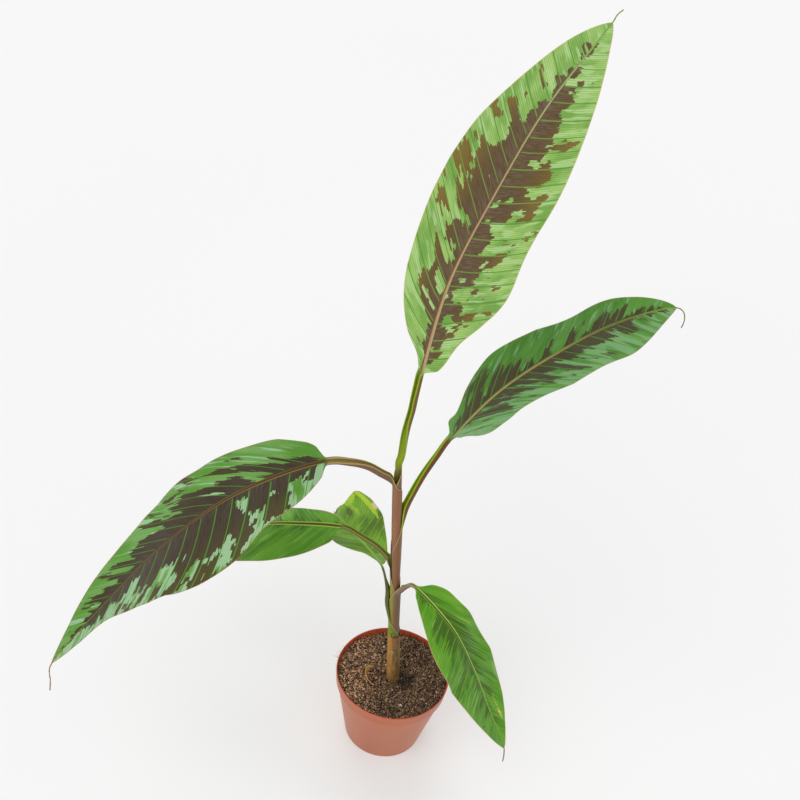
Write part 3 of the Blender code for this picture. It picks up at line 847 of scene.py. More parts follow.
@dataclass(frozen=True)
class LeafFinish:
    """The colours of one leaf. Lengths are in millimetres, as in the numbers that its mesh holds."""

    name: str
    greens: tuple[Colour, Colour]
    # The pale patches: partly the leaf's own pale mint ground, partly a painted sheen.
    pale: Colour
    pale_and_sheen_share: tuple[float, float]
    vein: Colour
    vein_on_mark: Colour
    margin: Colour
    mark: tuple[Colour, Colour]
    mark_level: float
    mark_spread: float
    mark_edge: float
    zones: tuple[tuple[float, ...], tuple[float, ...]]
    mark_strength: float
    channel: Colour
    channel_far: Colour
    edges: tuple[Colour, Colour]
    rib_tip: Colour
    stalk: tuple[Colour, Colour]
    sheath: tuple[Colour, Colour]
    sheath_green_share: float
    under: Colour
    seed: float
    bloom: float = 0.0
    streaky: float = 0.0
    ribbing: float = 0.34
    rib_width: float = 1.0
    holes: tuple[float, float] = (0.0, 0.0)
    veins: Veins = Veins()
    stripe: float = 1.15
    mark_size: tuple[float, float] = (15.0, 19.0)
    spots: tuple[Spot, ...] = ()
    roughness: float = 0.42
    gloss: float = 0.2
    relief: float = 0.00018
    tan: Colour = (196, 164, 120)
    dry: Colour = (150, 112, 66)
    bloom_colour: Colour = (160, 148, 146)
    streak_colour: Colour = (92, 66, 50)
    fleck_colour: Colour = (70, 58, 34)
    fleck_heights: tuple[float, float] = (0.185, 0.165)

    def material(self, length: float, stem: Stem) -> Material:
        """Builds the leaf's material.

        Args:
            length: The blade's length, in metres.
            stem: The stem that its sheath is part of.

        Returns:
            The material.
        """
        shader = Shader(self.name)
        on = OnLeaf(shader, self.veins, length)
        marks = self._marks(on)
        top = self._upper_face(on, marks)
        bottom = shader.blend(marks * 0.35, self.under, self.mark[0])
        bottom = shader.shade(bottom, 0.92 + 0.12 * on.fine_line)
        bottom = shader.blend(on.reach.rise(2.6, 1.6), bottom, self.edges[0])
        blade = shader.blend(on.upper.rise(0.4, 0.6), bottom, top)
        tip = shader.blend(on.t.rise(0.985, 1.01), blade, self.dry)
        colour = shader.blend(on.along.rise(-3.0, 5.0), self._stalk(on, stem), tip)

        sheen = on.cloud(5.0, 12.0, on.side + 4.0, 3.0)
        roughness = self.roughness + 0.22 * (sheen - 0.5) + 0.08 * marks
        ribs = (1.0 - on.vein) * 0.5 + on.fine_line * 0.35
        relief = (ribs + on.cloud(0.9, 3.0, on.side, 2.0) * 0.15) * on.along.rise(0.0, 8.0)
        return shader.close(colour, roughness, relief, self.relief, {"Specular IOR Level": self.gloss})

    def _upper_face(self, on: OnLeaf, marks: Value) -> NodeSocket:
        """Paints the blade's upper face: its greens, its pale patches that are partly painted sheen, marks,
        side veins, spots, edge and midrib.

        Args:
            on: The place on the leaf.
            marks: Where the dark marks are.

        Returns:
            The colour.
        """
        shader = on.shader
        drift = on.cloud(24.0, 26.0, on.side + self.seed, 3.0)
        top = shader.blend(drift.rise(0.35, 0.65), *self.greens)
        # Pale patches between the side veins: partly the leaf's own pale mint ground and partly a painted
        # sheen.
        thin = on.cloud(7.0, 30.0, on.side * 2.0 + self.seed, 2.0)
        pale = thin + shader.pick(on.side, *self.pale_and_sheen_share)
        top = shader.blend(pale.rise(0.62, 0.7) * 0.85, top, self.pale)
        lines = self.ribbing * (on.fine_line - 0.5) * drift.rise(0.2, 0.5) + 0.16 * (on.hair_line - 0.5)
        top = shader.shade(top, 1.0 + lines + 0.2 * (thin - 0.5))
        top = shader.blend(on.vein * 0.9, top, self.vein)
        worn = on.cloud(1.6, 9.0, self.seed, 4.0)
        mark = shader.blend(on.share.rise(0.25, 0.95), *self.mark)
        mark = shader.shade(mark, 0.66 + 0.56 * worn + 0.3 * self.ribbing * (on.fine_line - 0.5))
        bloom = worn.rise(0.42, 0.62) * on.share.rise(0.55, 0.05) * self.bloom
        mark = shader.blend(bloom, mark, self.bloom_colour)
        mark = shader.blend(on.vein * 0.9, mark, self.vein_on_mark)
        top = shader.blend(marks, top, mark)
        for number, spot in enumerate(self.spots):
            top = self._spotted(on, top, spot, number)
        top = shader.blend(on.margin.rise(0.75, 0.25) * 0.85, top, self.margin)
        return self._with_rib(on, top)

    def _marks(self, on: OnLeaf) -> Value:
        """Works out where the dark marks are: blocks along the side veins, with a step at each stripe.

        Args:
            on: The place on the leaf.

        Returns:
            1 in a mark and 0 outside it.
        """
        shader, jog, place = on.shader, on.side * 0.0, 0.0
        # Of each stripe: its width and how far it juts out, its share in the place, and its draws' seed.
        fine = self.stripe
        stripes = ((fine, 2.6, 0.25, 37.0), (fine * 2.7, 6.0, 0.35, 53.0), (11.5, 8.0, 0.4, 71.0))
        for width, amount, weight, salt in stripes:
            step = (on.place / width).floor()
            jog = jog + amount * (shader.chance(step + on.side * salt + self.seed) - 0.5)
            place = step * (width * weight) + place
        length, width = self.mark_size
        where = shader.point(place / length, (on.reach + jog) / width, on.side * 4.0 + self.seed)
        level = shader.cloud(where, 1.0, 1.6, 0.55)
        level = level + 0.1 * (shader.chance(step + on.side * 11.0 + self.seed) - 0.5)
        streaks = on.cloud(1.3, 22.0, on.side + self.seed, 2.0)
        level = level - self.mark_spread * (on.share - on.zone) + self.streaky * (streaks - 0.5)
        cell = (on.place / (self.veins.pitch / MM)).floor()
        draws = [shader.chance(cell * salt + on.side * 19.0 + self.seed) for salt in (1.7, 2.9, 4.3)]
        centre, half = 0.2 + 0.55 * draws[0], 0.08 + 0.16 * draws[1]
        hole = (1.3 - abs((on.share + 0.02 * jog) - centre) / half).most(0.0).least(1.0)
        hole = hole * draws[2].rise(0.45, 0.46)
        level = level - hole * shader.pick(on.side, *self.holes)
        return level.rise(self.mark_level, self.mark_level + self.mark_edge) * self.mark_strength

    @staticmethod
    def _spotted(on: OnLeaf, colour: NodeSocket, spot: Spot, number: int) -> NodeSocket:
        """Adds one spot to a colour.

        Args:
            on: The place on the leaf.
            colour: The colour without it.
            spot: The spot.
            number: What sets its ragged edge apart from another spot's.

        Returns:
            The colour with it.
        """
        shader = on.shader
        ahead, aside = (on.along - spot.along) / spot.length, (on.across - spot.across) / spot.width
        out = ahead**2.0 + aside**2.0
        rag = shader.cloud(shader.point(on.along / 2.2, on.across / 2.2, float(number)), 1.0, 3.0) - 0.5
        seen = (out + spot.ragged * 4.0 * rag + spot.sparse).rise(1.1, 0.6)
        return shader.blend(seen * spot.strength, colour, spot.colour)

    def _with_rib(self, on: OnLeaf, colour: NodeSocket) -> NodeSocket:
        """Draws the midrib along the upper face: a channel between two edges of their own colours.

        Args:
            on: The place on the leaf.
            colour: The colour without it.

        Returns:
            The colour with it.
        """
        shader = on.shader
        place = on.across / (self.rib_width * (1.0 - 0.58 * on.t.rise(0.0, 1.0)))
        grain = shader.grain(on.t * 90.0, on.across * 2.2, self.seed, 3.0)
        edge = shader.blend(place.rise(-0.2, 0.2), self.edges[0], self.edges[1])
        edge = shader.shade(shader.blend(on.t.rise(0.5, 1.0), edge, self.rib_tip), 0.75 + 0.5 * grain)
        inner = shader.blend(on.t.rise(0.35, 0.85), self.channel, self.channel_far)
        inner = shader.shade(shader.blend(on.t.rise(0.75, 1.0), inner, self.rib_tip), 0.7 + 0.6 * grain)
        colour = shader.blend(abs(place).rise(2.3, 1.9), colour, edge)
        return shader.blend(abs(place).rise(1.15, 0.8), colour, inner)

    def _stalk(self, on: OnLeaf, stem: Stem) -> NodeSocket:
        """Paints the petiole and the sheath below it, with painted shading across the stem.

        Args:
            on: The place on the leaf.
            stem: The stem that the sheath is part of.

        Returns:
            The colour.
        """
        shader = on.shader
        x, y, z = shader.place()
        streak = shader.grain(on.reach / 0.5, on.past / 55.0, self.seed, 3.0)
        broad = shader.grain(on.reach / 4.0, on.past / 24.0, self.seed + 3.0, 2.0)
        outer = shader.shade(self.stalk[0], 0.8 + 0.4 * streak)
        outer = shader.blend(on.margin.rise(1.6, 0.5), outer, self.stalk[1])
        inner = shader.shade(self.stalk[1], 0.85 + 0.3 * streak)
        petiole = shader.blend(on.upper.rise(0.4, 0.6), outer, inner)

        across_stem = (x - (stem.foot[0] - math.tan(stem.lean) * (z - stem.foot[2]))) / stem.shown_half
        limit = self.sheath_green_share
        green = (across_stem + 0.9 * (broad - 0.5)).rise(limit + 0.5, limit - 0.5)
        sheath = shader.blend(green, *self.sheath)
        # Painted shading: the sheath is lighter on the stem's left side and darker on its right.
        sheath = shader.shade(sheath, (0.72 + 0.56 * streak) * (1.14 - 0.26 * across_stem.rise(-0.7, 0.5)))
        sheath = shader.blend(streak.rise(0.6, 0.72) * 0.5, sheath, self.streak_colour)
        flecks = shader.grain(x / 0.0016, y / 0.0016, z / 0.0042, 2.0)
        low = z.rise(*self.fleck_heights)
        sheath = shader.blend(flecks.rise(0.56, 0.63) * low * 0.8, sheath, self.fleck_colour)
        sheath = shader.blend(on.margin.rise(0.9, 0.3) * on.past.rise(-50.0, -12.0), sheath, self.tan)
        return shader.blend(on.past.rise(-6.0, 10.0), sheath, petiole)


@dataclass(frozen=True)
class Leaf:
    """One leaf from the foot of its sheath to the thread at its tip. Metres, and degrees for angles."""

    node: str
    slot: Slot
    layer: int
    side: int
    mouth: float
    slant: float
    petiole_radius: tuple[float, float]
    parting: tuple[float, float]
    petiole: tuple[Point, ...]
    midrib: tuple[Point, ...]
    thread: tuple[Point, ...]
    left: float
    right: float
    rise: float
    fall: float
    twist: tuple[float, float, float]
    lifts: tuple[tuple[float, ...], tuple[float, ...]]
    lobes: tuple[tuple[float, ...], tuple[float, ...]]
    finish: LeafFinish
    torn: tuple[float, float, float] = (0.0, 1.0, 0.0)
    stem: Stem = Stem()
    strip: Strip = Strip()

    def outline(self, t: float) -> float:
        """The blade's plain outline, before its lobes.

        Args:
            t: The place from the blade's base, 0, to its tip, 1.

        Returns:
            The width there over the widest.
        """
        widest = self.rise / (self.rise + self.fall)
        top = widest**self.rise * (1 - widest) ** self.fall
        return t**self.rise * (1 - t) ** self.fall / top

    def sheath_cuts(self) -> list[tuple]:
        """Lays out the cuts of the sheath, closed at first and then opening up to its mouth.

        Returns:
            Each cut, its middle, its sideways and inwards directions, and how far past the mouth it is.
        """
        stem, strip = self.stem, self.strip
        outwards = stem.outwards(self.side)
        sideways = np.cross(stem.axis, -outwards)
        full_roll = math.pi * (stem.sides - 1) / stem.sides
        opening = self.mouth - self.slant
        heights = np.concatenate([np.arange(0.0, opening, 0.006), np.linspace(opening, self.mouth, 26)])
        cuts = []
        for height in heights:
            radius = stem.radius_of(self.layer, height)
            roll = full_roll + (strip.mouth_roll - full_roll) * max(0.0, (height - opening) / self.slant)
            keel = stem.point(height) + outwards * radius
            cut = strip.rolled(radius, roll, stem.wall)
            cuts.append((cut, keel, sideways, -outwards, height - self.mouth))
        return cuts

    def free_line(self) -> tuple[np.ndarray, float, float, float]:
        """Draws the keel's line past the mouth.

        Returns:
            The line, and the lengths along it of the mouth, the blade's base and the blade's tip.
        """
        stem, strip = self.stem, self.strip
        outwards = stem.outwards(self.side)
        radius = stem.radius_of(self.layer, self.mouth)
        start = stem.point(self.mouth) + outwards * radius
        rise, away = self.parting
        parted = stem.point(self.mouth + rise) + outwards * (radius + away)
        below = start - stem.axis * strip.parting
        line = smooth_line([below, start, parted, *self.petiole, *self.midrib, *self.thread], 0.001)
        along = lengths_along(line)
        base, tip, first = (
            float(along[np.argmin(np.linalg.norm(line - np.array(point), axis=1))])
            for point in (self.midrib[0], self.midrib[-1], start)
        )
        return line, first, base, tip

    def free_cuts(self) -> tuple[list[tuple], float, float]:
        """Lays out the cuts of the petiole, the blade and the thread.

        Returns:
            The cuts, as of the sheath, and the lengths of the petiole and of the blade.
        """
        stem, strip = self.stem, self.strip
        outwards = stem.outwards(self.side)
        line, first, base, tip = self.free_line()
        end = float(lengths_along(line)[-1])
        petiole = np.linspace(first, base, max(12, round((base - first) / 0.0022)))[1:]
        count = max(40, round((tip - base) / 0.0019))
        even = np.arange(1, count) / count
        blade = base + (tip - base) * (0.35 * even + 0.65 * (1 - np.cos(math.pi * even)) / 2)
        at = np.concatenate([petiole, blade, np.linspace(tip, end, 8)])
        keel = read_line(line, at)
        ahead = unit(read_line(line, np.minimum(at + 0.001, end)) - read_line(line, at - 0.001))
        mouth_radius = stem.radius_of(self.layer, self.mouth)
        from_stem = keel - stem.point(0.0)
        from_stem -= np.outer(from_stem @ stem.axis, stem.axis)
        stalk = (at - first) / (base - first)
        by_distance = smooth_step((np.linalg.norm(from_stem, axis=1) - mouth_radius) / strip.parting)
        low, high = strip.unrolling
        parted = np.maximum.accumulate(np.maximum(by_distance, smooth_step((stalk - low) / (high - low))))
        t = np.clip((at - base) / (tip - base), 0.0, 1.0)
        ramp = smooth_step((stalk - strip.twist_from) / (1 - strip.twist_from))
        twist = np.radians(np.interp(t, (0.0, 0.5, 1.0), self.twist)) * ramp
        lifts = [knots(np.radians(values), t) for values in self.lifts]
        cuts = []
        for i, place in enumerate(keel):
            above = stem.axis + (UP - stem.axis) * ramp[i]
            turned_in = 1 - parted[i] * (1 - strip.steady * (1 - ramp[i]))
            up = above * parted[i] - outwards * turned_in
            inwards = unit(up - ahead[i] * (ahead[i] @ up))
            across = np.cross(ahead[i], inwards)
            turned = across * math.cos(twist[i]) - inwards * math.sin(twist[i])
            inwards = inwards * math.cos(twist[i]) + across * math.sin(twist[i])
            thick, slim = self.petiole_radius
            channel = thick + (slim - thick) * min(1.0, stalk[i]) - strip.petiole_wall / 2
            radius = mouth_radius + (channel - mouth_radius) * parted[i]
            roll = strip.mouth_roll + (strip.petiole_roll - strip.mouth_roll) * parted[i]
            wall = stem.wall + (strip.petiole_wall - stem.wall) * parted[i]
            cut = strip.rolled(radius, roll, wall)
            if at[i] > base:
                spread = float(smooth_step((at[i] - base) / strip.blade_base))
                cut = cut.mixed(self.blade_cut(t[i], (lifts[0][i], lifts[1][i])), spread)
                relief = strip.relief(at[i] - base, cut, self.layer * 7.0, self.finish.veins)
                cut.points = cut.points + cut.normals * relief[:, None]
            cuts.append((cut, place, turned, inwards, at[i] - first))
        return cuts, base - first, tip - base

    def blade_cut(self, t: float, lifts: Sequence[float]) -> Section:
        """Makes one cut of the blade.

        Args:
            t: Its place from the blade's base, 0, to its tip, 1.
            lifts: How far the left and the right half bend up, in radians.

        Returns:
            The cut.
        """
        strip = self.strip
        plain = max(strip.base_half_width * (1 - t), strip.thread_half_width)
        shape = self.outline(t)
        at_base = self.petiole_radius[1]
        rib = at_base + (strip.rib_depth_at_tip - at_base) * t**0.7
        depth = rib if t < 1 else strip.thread_thickness
        sides = zip((self.left, self.right), self.lobes)
        halves = [plain + width * shape * knots(lobes, t**strip.lobe_crowding) for width, lobes in sides]
        start, end, gone = self.torn
        halves[1] *= 1 - gone * float(smooth_step((t - start) / (end - start)))
        return strip.blade(halves, lifts, depth, 1 - strip.rib_taper * t)

    def zone_of(self, t: float, across: np.ndarray) -> np.ndarray:
        """How much of the half's width the marks take up, for each point of a cut."""
        left, right = (knots(zone, float(np.clip(t, 0, 1))) for zone in self.finish.zones)
        return np.where(across < 0, left, right)

    def build(self) -> None:
        """Lofts the leaf through its cuts and finishes it."""
        free, stalk_length, blade_length = self.free_cuts()
        cuts = self.sheath_cuts() + free
        rings, numbers = [], []
        for cut, origin, sideways, inwards, past in cuts:
            half = cut.normals * cut.thickness[:, None] / 2
            flat = np.vstack([cut.points + half, (cut.points - half)[::-1]])
            rings.append(origin + flat[:, :1] * sideways + flat[:, 1:] * inwards)
            across, margin = (np.concatenate([half, half[::-1]]) for half in (cut.across, cut.margin))
            upper = np.repeat([1.0, 0.0], len(cut.across))
            zone = self.zone_of((past - stalk_length) / blade_length, across)
            pasts = np.full(len(across), past)
            lengths = np.stack([pasts - stalk_length, across, margin, pasts]) / MM
            numbers.append(np.vstack([lengths, upper, zone]))
        low, high = (np.array(corner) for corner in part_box(self.node))
        vertices = np.clip(np.vstack(rings), low, high)
        piece = mesh_piece("banana_" + self.node, vertices, loft_faces(len(rings), len(rings[0])))
        for name, values in zip(LEAF_NUMBERS, np.hstack(numbers)):
            held = piece.data.attributes.new(name, "FLOAT", "POINT")
            held.data.foreach_set("value", values.astype(np.float32))
        apply_all(piece)
        settle(piece, [self.node], self.finish.material(blade_length, self.stem))


def loft_faces(rings: int, count: int) -> list[tuple[int, ...]]:
    """The faces of a closed strip between rings of paired points.

    Args:
        rings: How many rings it has.
        count: How many points a ring has, its upper row first and its lower row back again.

    Returns:
        The faces, with both ends closed.
    """
    faces = []
    for ring in range(rings - 1):
        low, high = ring * count, (ring + 1) * count
        for here in range(count):
            there = (here + 1) % count
            faces.append((low + here, low + there, high + there, high + here))
    last = (rings - 1) * count
    for here in range(count // 2 - 1):
        back = count - 1 - here
        faces.append((back, back - 1, here + 1, here))
        faces.append((last + here, last + here + 1, last + back - 1, last + back))
    return faces


@dataclass(frozen=True)
class Pot:
    """The thin plastic pot, as its solid: a band below the rim and a tapered body."""

    rim_radius: float = 0.06
    height: float = 0.095
    band_height: float = 0.014
    band_taper: float = 0.0014
    band_step: float = 0.0015
    foot_radius: float = 0.041
    foot_round: float = 0.0012
    wall: float = 0.0012
    floor: float = 0.0018
    lip_round: float = 0.0005
    steps: int = 160
    holes: int = 6
    hole_radius: float = 0.004
    hole_circle: float = 0.027
    drill_length: float = 0.01
    recess: float = 0.0007
    foot_ring: float = 0.0045

    @property
    def band_foot(self) -> float:
        """The height of the band's lower edge."""
        return self.height - self.band_height

    @property
    def body_radius(self) -> float:
        """The body's outer radius just below the band."""
        return self.rim_radius - self.band_taper - self.band_step

    def inner_radius(self, height: float) -> float:
        """The radius of the inner wall at a height in the band."""
        share = (height - self.band_foot - self.wall) / (self.band_height - self.wall - self.lip_round)
        return self.rim_radius - self.band_taper * (1 - share) - self.wall

    def profile(self) -> list[tuple[float, float]]:
        """Draws the pot's cut.

        Returns:
            Radius and height of each point, from the middle of the floor inside, over the lip and down to
            the middle below.
        """
        foot, body, band = self.foot_radius, self.body_radius, self.rim_radius - self.band_taper
        lip = self.wall / 2
        bead = [
            (self.rim_radius - lip + lip * math.cos(turn), self.height - lip + lip * math.sin(turn))
            for turn in np.linspace(math.pi, 0.0, 9)
        ]
        return [
            (0.0, self.floor),
            (foot - self.wall - 0.001, self.floor),
            (foot - self.wall, self.floor + 0.001),
            (body - self.wall, self.band_foot - 0.0004),
            (band - self.wall - 0.0002, self.band_foot + self.wall),
            *bead,
            (self.rim_radius - 0.0001, self.height - 0.0012),
            (band + 0.0001, self.band_foot + 0.0004),
            (band - 0.0003, self.band_foot),
            (body + 0.0002, self.band_foot - self.wall / 2),
            (body - 0.0001, self.band_foot - 0.0012),
            (foot + self.foot_round / 4, self.foot_round),
            (foot - 0.0002, 0.0004),
            (foot - self.foot_round, 0.0),
            (foot - self.foot_ring, 0.0),
            (foot - self.foot_ring - self.recess, self.recess),
            (0.0, self.recess),
        ]

    def build(self) -> None:
        """Turns the pot, drills its drain holes and finishes it."""
        piece = drawn_and_spun("nursery_pot", self.profile(), self.steps)
        drills = []
        for number in range(self.holes):
            bearing = 2 * math.pi * (number + 0.5) / self.holes
            spot = (self.hole_circle * math.cos(bearing), self.hole_circle * math.sin(bearing), 0.0)
            deselect_all()
            bpy.ops.mesh.primitive_cylinder_add(
                vertices=32, radius=self.hole_radius, depth=self.drill_length, location=spot
            )
            drills.append(take_new(f"drill_{number + 1}"))
            drill = piece.modifiers.new(f"drain_{number + 1}", "BOOLEAN")
            drill.operation = "DIFFERENCE"
            drill.object = drills[-1]
        apply_all(piece)
        for drill_piece in drills:
            bpy.data.objects.remove(drill_piece)
        settle(piece, ["pot"], self.material())

    def material(self) -> Material:
        """Satin terracotta plastic, a little dusty, with painted light through its thin lip as a brighter
        band.

        Returns:
            The material.
        """
        shader = Shader("terracotta_plastic")
        x, y, z = shader.place()
        drift = shader.grain(x * 22.0, y * 22.0, z * 14.0, 3.0)
        colour = shader.blend(drift.rise(0.3, 0.7), (184, 96, 54), (194, 108, 64))
        radius = (x * x + y * y) ** 0.5
        inside = (radius - 0.0583 - 0.09 * (z - 0.083)).rise(0.0, -0.0004) * z.rise(0.08, 0.0815)
        colour = shader.blend(inside * 0.9, colour, (196, 84, 52))
        # Painted light: the thin lip brighter and redder, as light shining through the thin plastic makes
        # it.
        colour = shader.blend(z.rise(0.0928, 0.0942) * 0.9, colour, (206, 92, 58))
        smudge = shader.grain(x * 260.0, y * 260.0, z * 90.0, 4.0)
        dusty = smudge.rise(0.58, 0.75) * (z.rise(0.0, 0.03) * z.rise(0.09, 0.075)) * 0.25
        colour = shader.blend(dusty, colour, (206, 150, 124))
        soiled = smudge.rise(0.55, 0.62) * z.rise(0.0945, 0.09) * inside
        colour = shader.blend(soiled * 0.7, colour, (78, 50, 38))
        roughness = 0.4 + 0.14 * (drift - 0.5) + 0.2 * dusty
        fine = shader.grain(x * 1500.0, y * 1500.0, z * 1500.0, 2.0)
        return shader.close(colour, roughness, fine, 0.00002, {"Specular IOR Level": 0.55})


@dataclass(frozen=True)
class Soil:
    """The peaty soil: a crumbly bed in its pot, round its stem, and what lies on it as the view shows."""

    pot: Pot = Pot()
    stem: Stem = Stem()
    view: View = View()
    draw: random.Random = field(default_factory=lambda: random.Random(11), compare=False)
    top: float = 0.0903
    edge_dip: float = 0.0018
    bump: float = 0.0022
    bump_length: float = 0.009
    crumbly: float = 0.0007
    crumbly_length: float = 0.0016
    gap: float = 0.00035
    steps: int = 200
    rings: int = 46
    stem_room: float = 0.008
    corm_room: float = 0.0134
    corm_span: tuple[float, float] = (0.0376, 0.0618)
    crumbs: int = 4600
    grains: int = 45
    fibres: int = 620
    flecks: int = 170
    chips: int = 260
    bed_radius: float = 0.0582
    stem_middle: float = 0.0022
    stem_clear: float = 0.0079
    dips: tuple[tuple[float, float, float, float], ...] = (
        (0.0155, -0.006, 0.0034, 0.0075),
        (0.012, -0.015, 0.0018, 0.006),
        (-0.0195, 0.002, 0.002, 0.005),
        (-0.002, 0.034, 0.0016, 0.006),
        (0.03, 0.02, 0.0016, 0.005),
    )

    def height(self, x: float, y: float) -> float:
        """The height of the soil's surface.

        Args:
            x: The place to the right.
            y: The place to the back.

        Returns:
            The height there, above the ground.
        """
        bump = noise.noise(Vector((x, y, 0.0)) / self.bump_length)
        edge = math.hypot(x, y) / 0.06
        dip = sum(
            depth * math.exp(-((x - at_x) ** 2 + (y - at_y) ** 2) / reach**2)
            for at_x, at_y, depth, reach in self.dips
        )
        return self.top - self.edge_dip * edge**4 + self.bump * bump - dip

    def build(self) -> None:
        """Makes the bed and everything that lies on it."""
        self.build_bed()
        crumb, grain = self.build_lump("crumb", 1), self.build_lump("grain", 2)
        self.scatter("soil_crumbs", crumb, self.crumb_places(), Peat().material())
        self.scatter("perlite_grains", grain, self.grain_places(), PERLITE.material())
        self.scatter("moss_flecks", crumb, self.fleck_places(), MOSS.material())
        self.scatter("bark_chips", self.build_chip(), self.chip_places(), BARK.material())
        self.build_fibres()
        for master in (crumb, grain, bpy.data.objects["chip"]):
            bpy.data.objects.remove(master)

    def build_bed(self) -> None:
        """Turns the bed with the room for the stem and the corm in it, and makes its top crumbly."""
        pot, stem = self.pot, self.stem
        edge = pot.inner_radius(self.top - self.edge_dip - self.bump) - self.gap
        low, high = self.corm_span
        radii = np.linspace(self.stem_room, edge, self.rings)
        profile = [(0.0, low), (self.corm_room, low), (self.corm_room, high), (self.stem_room, high)]
        profile += [(self.stem_room, height) for height in (0.07, 0.078)]
        profile += [(float(radius), self.top) for radius in radii]
        profile += [
            (edge, self.top - 0.004),
            (pot.inner_radius(pot.band_foot + 2 * pot.wall) - self.gap, pot.band_foot + 2 * pot.wall),
            (pot.body_radius - pot.wall - self.gap, pot.band_foot - pot.wall),
            (pot.foot_radius - pot.wall - self.gap, pot.floor + self.gap),
            (0.0, pot.floor + self.gap),
        ]
        piece = drawn_and_spun("soil_bed", profile, self.steps)
        for vertex in piece.data.vertices:
            x, y, z = vertex.co
            radius = math.hypot(x, y)
            if low - 1e-5 < z < self.top + 1e-5 and radius < edge - 1e-5 and z > pot.floor + 2 * self.gap:
                shift = stem.point((z - stem.foot[2]) / math.cos(stem.lean))[0]
                x = x + shift * (1 - smooth_step((radius - self.corm_room) / 0.02))
            if z > self.top - 1e-5:
                crumbly = self.crumbly * noise.noise(Vector((x, y, 1.0)) / self.crumbly_length)
                z = self.height(x, y) + crumbly
            vertex.co = (x, y, z)
        apply_all(piece)
        # The bed takes the crumbs' peat at 0.45 of their brightness: painted shade in the gaps between the
        # crumbs.
        settle(piece, ["soil"], Peat("peat_bed", 0.45).material())

    @staticmethod
    def build_lump(name: str, subdivisions: int) -> Object:
        """Models one lump, to be copied.

        Args:
            name: The lump's name.
            subdivisions: How finely it is divided.

        Returns:
            The lump, at a radius of one.
        """
        deselect_all()
        bpy.ops.mesh.primitive_ico_sphere_add(subdivisions=subdivisions, radius=1.0)
        return take_new(name)

    @staticmethod
    def build_chip() -> Object:
        """Models one flat chip of bark, to be copied.

        Returns:
            The chip, two units long.
        """
        deselect_all()
        bpy.ops.mesh.primitive_cube_add(size=2.0)
        chip = take_new("chip")
        with editing(chip):
            bpy.ops.transform.resize(value=(1.0, 0.72, 0.16))
            bpy.ops.mesh.subdivide(number_cuts=1)
            bpy.ops.mesh.bevel(offset=0.05, segments=1)
        for vertex in chip.data.vertices:
            vertex.co += noise.noise_vector(vertex.co * 1.7) * 0.16
        return chip

    def on_bed(self, margin: float) -> tuple[float, float]:
        """Draws a place on the bed.

        Args:
            margin: How far it stays clear of the wall, and about how far of the stem.

        Returns:
            The place.
        """
        while True:
            radius = (self.bed_radius - margin) * math.sqrt(self.draw.random())
            bearing = self.draw.uniform(0, 2 * math.pi)
            x, y = radius * math.cos(bearing), radius * math.sin(bearing)
            if math.hypot(x - self.stem_middle, y) > self.stem_clear + margin * 0.6:
                return x, y

    def lying_at(self, spot: Vector, above: float) -> Point:
        """The point that is a length above the bed, over or under a spot."""
        return (spot.x, spot.y, self.height(spot.x, spot.y) + above)

    def crumb_places(self) -> Places:
        """Places the crumbs: many fine ones and some coarse ones.

        Returns:
            The place and the radius of each.
        """
        found = []
        for _ in range(self.crumbs):
            radius = 0.00045 + 0.0019 * self.draw.random() ** 4
            x, y = self.on_bed(radius)
            found.append(((x, y, self.height(x, y) + radius * self.draw.uniform(-0.1, 0.75)), radius))
        return found

    def grain_places(self) -> Places:
        """Places the white grains: the ones that show well, and a sprinkling.

        Returns:
            The place and the radius of each.
        """
        seen = ((400, 706, 1.7), (386, 665, 1.25), (362, 658, 1.3), (372, 657, 1.1), (379, 652, 1.2),
                (384, 647, 0.9), (358, 656, 0.8), (392, 690, 1.3), (404, 652, 0.8), (416, 653, 0.9),
                (366, 665, 0.9), (366, 676, 0.9), (338, 675, 0.8), (381, 717, 0.8), (390, 702, 0.8))
        found = []
        for column, row, radius in seen:
            spot = self.view.at_height(column, row, self.top)
            found.append((self.lying_at(spot, 0.5 * MM), radius * MM))
        for _ in range(self.grains):
            radius = self.draw.uniform(0.25, 0.75) * MM
            x, y = self.on_bed(radius)
            found.append(((x, y, self.height(x, y) + 0.9 * radius), radius))
        return found

    def fleck_places(self) -> Places:
        """Places the yellow-green flecks, in a few loose groups.

        Returns:
            The place and the radius of each.
        """
        groups = ((431, 667), (434, 674), (423, 675), (360, 679), (357, 677), (384, 693), (413, 696),
                  (416, 688), (366, 675), (392, 681), (404, 678), (388, 688))
        found = []
        for number in range(self.flecks):
            column, row = groups[number % len(groups)]
            column, row = (middle + self.draw.gauss(0, 2.2) for middle in (column, row))
            spot = self.view.at_height(column, row, self.top)
            radius = self.draw.uniform(0.25, 0.6) * MM
            found.append((self.lying_at(spot, 0.8 * MM), radius))
        return found

    def chip_places(self) -> Places:
        """Places the bark chips: one broad one by the stem, and small ones all over.

        Returns:
            The place and the half length of each.
        """
        broad = self.view.at_height(381, 675, self.top)
        found = [(self.lying_at(broad, 1.2 * MM), 3.1 * MM)]
        for _ in range(self.chips):
            length = self.draw.uniform(0.6, 1.6) * MM
            x, y = self.on_bed(length)
            found.append(((x, y, self.height(x, y) + 0.7 * length), length))
        return found

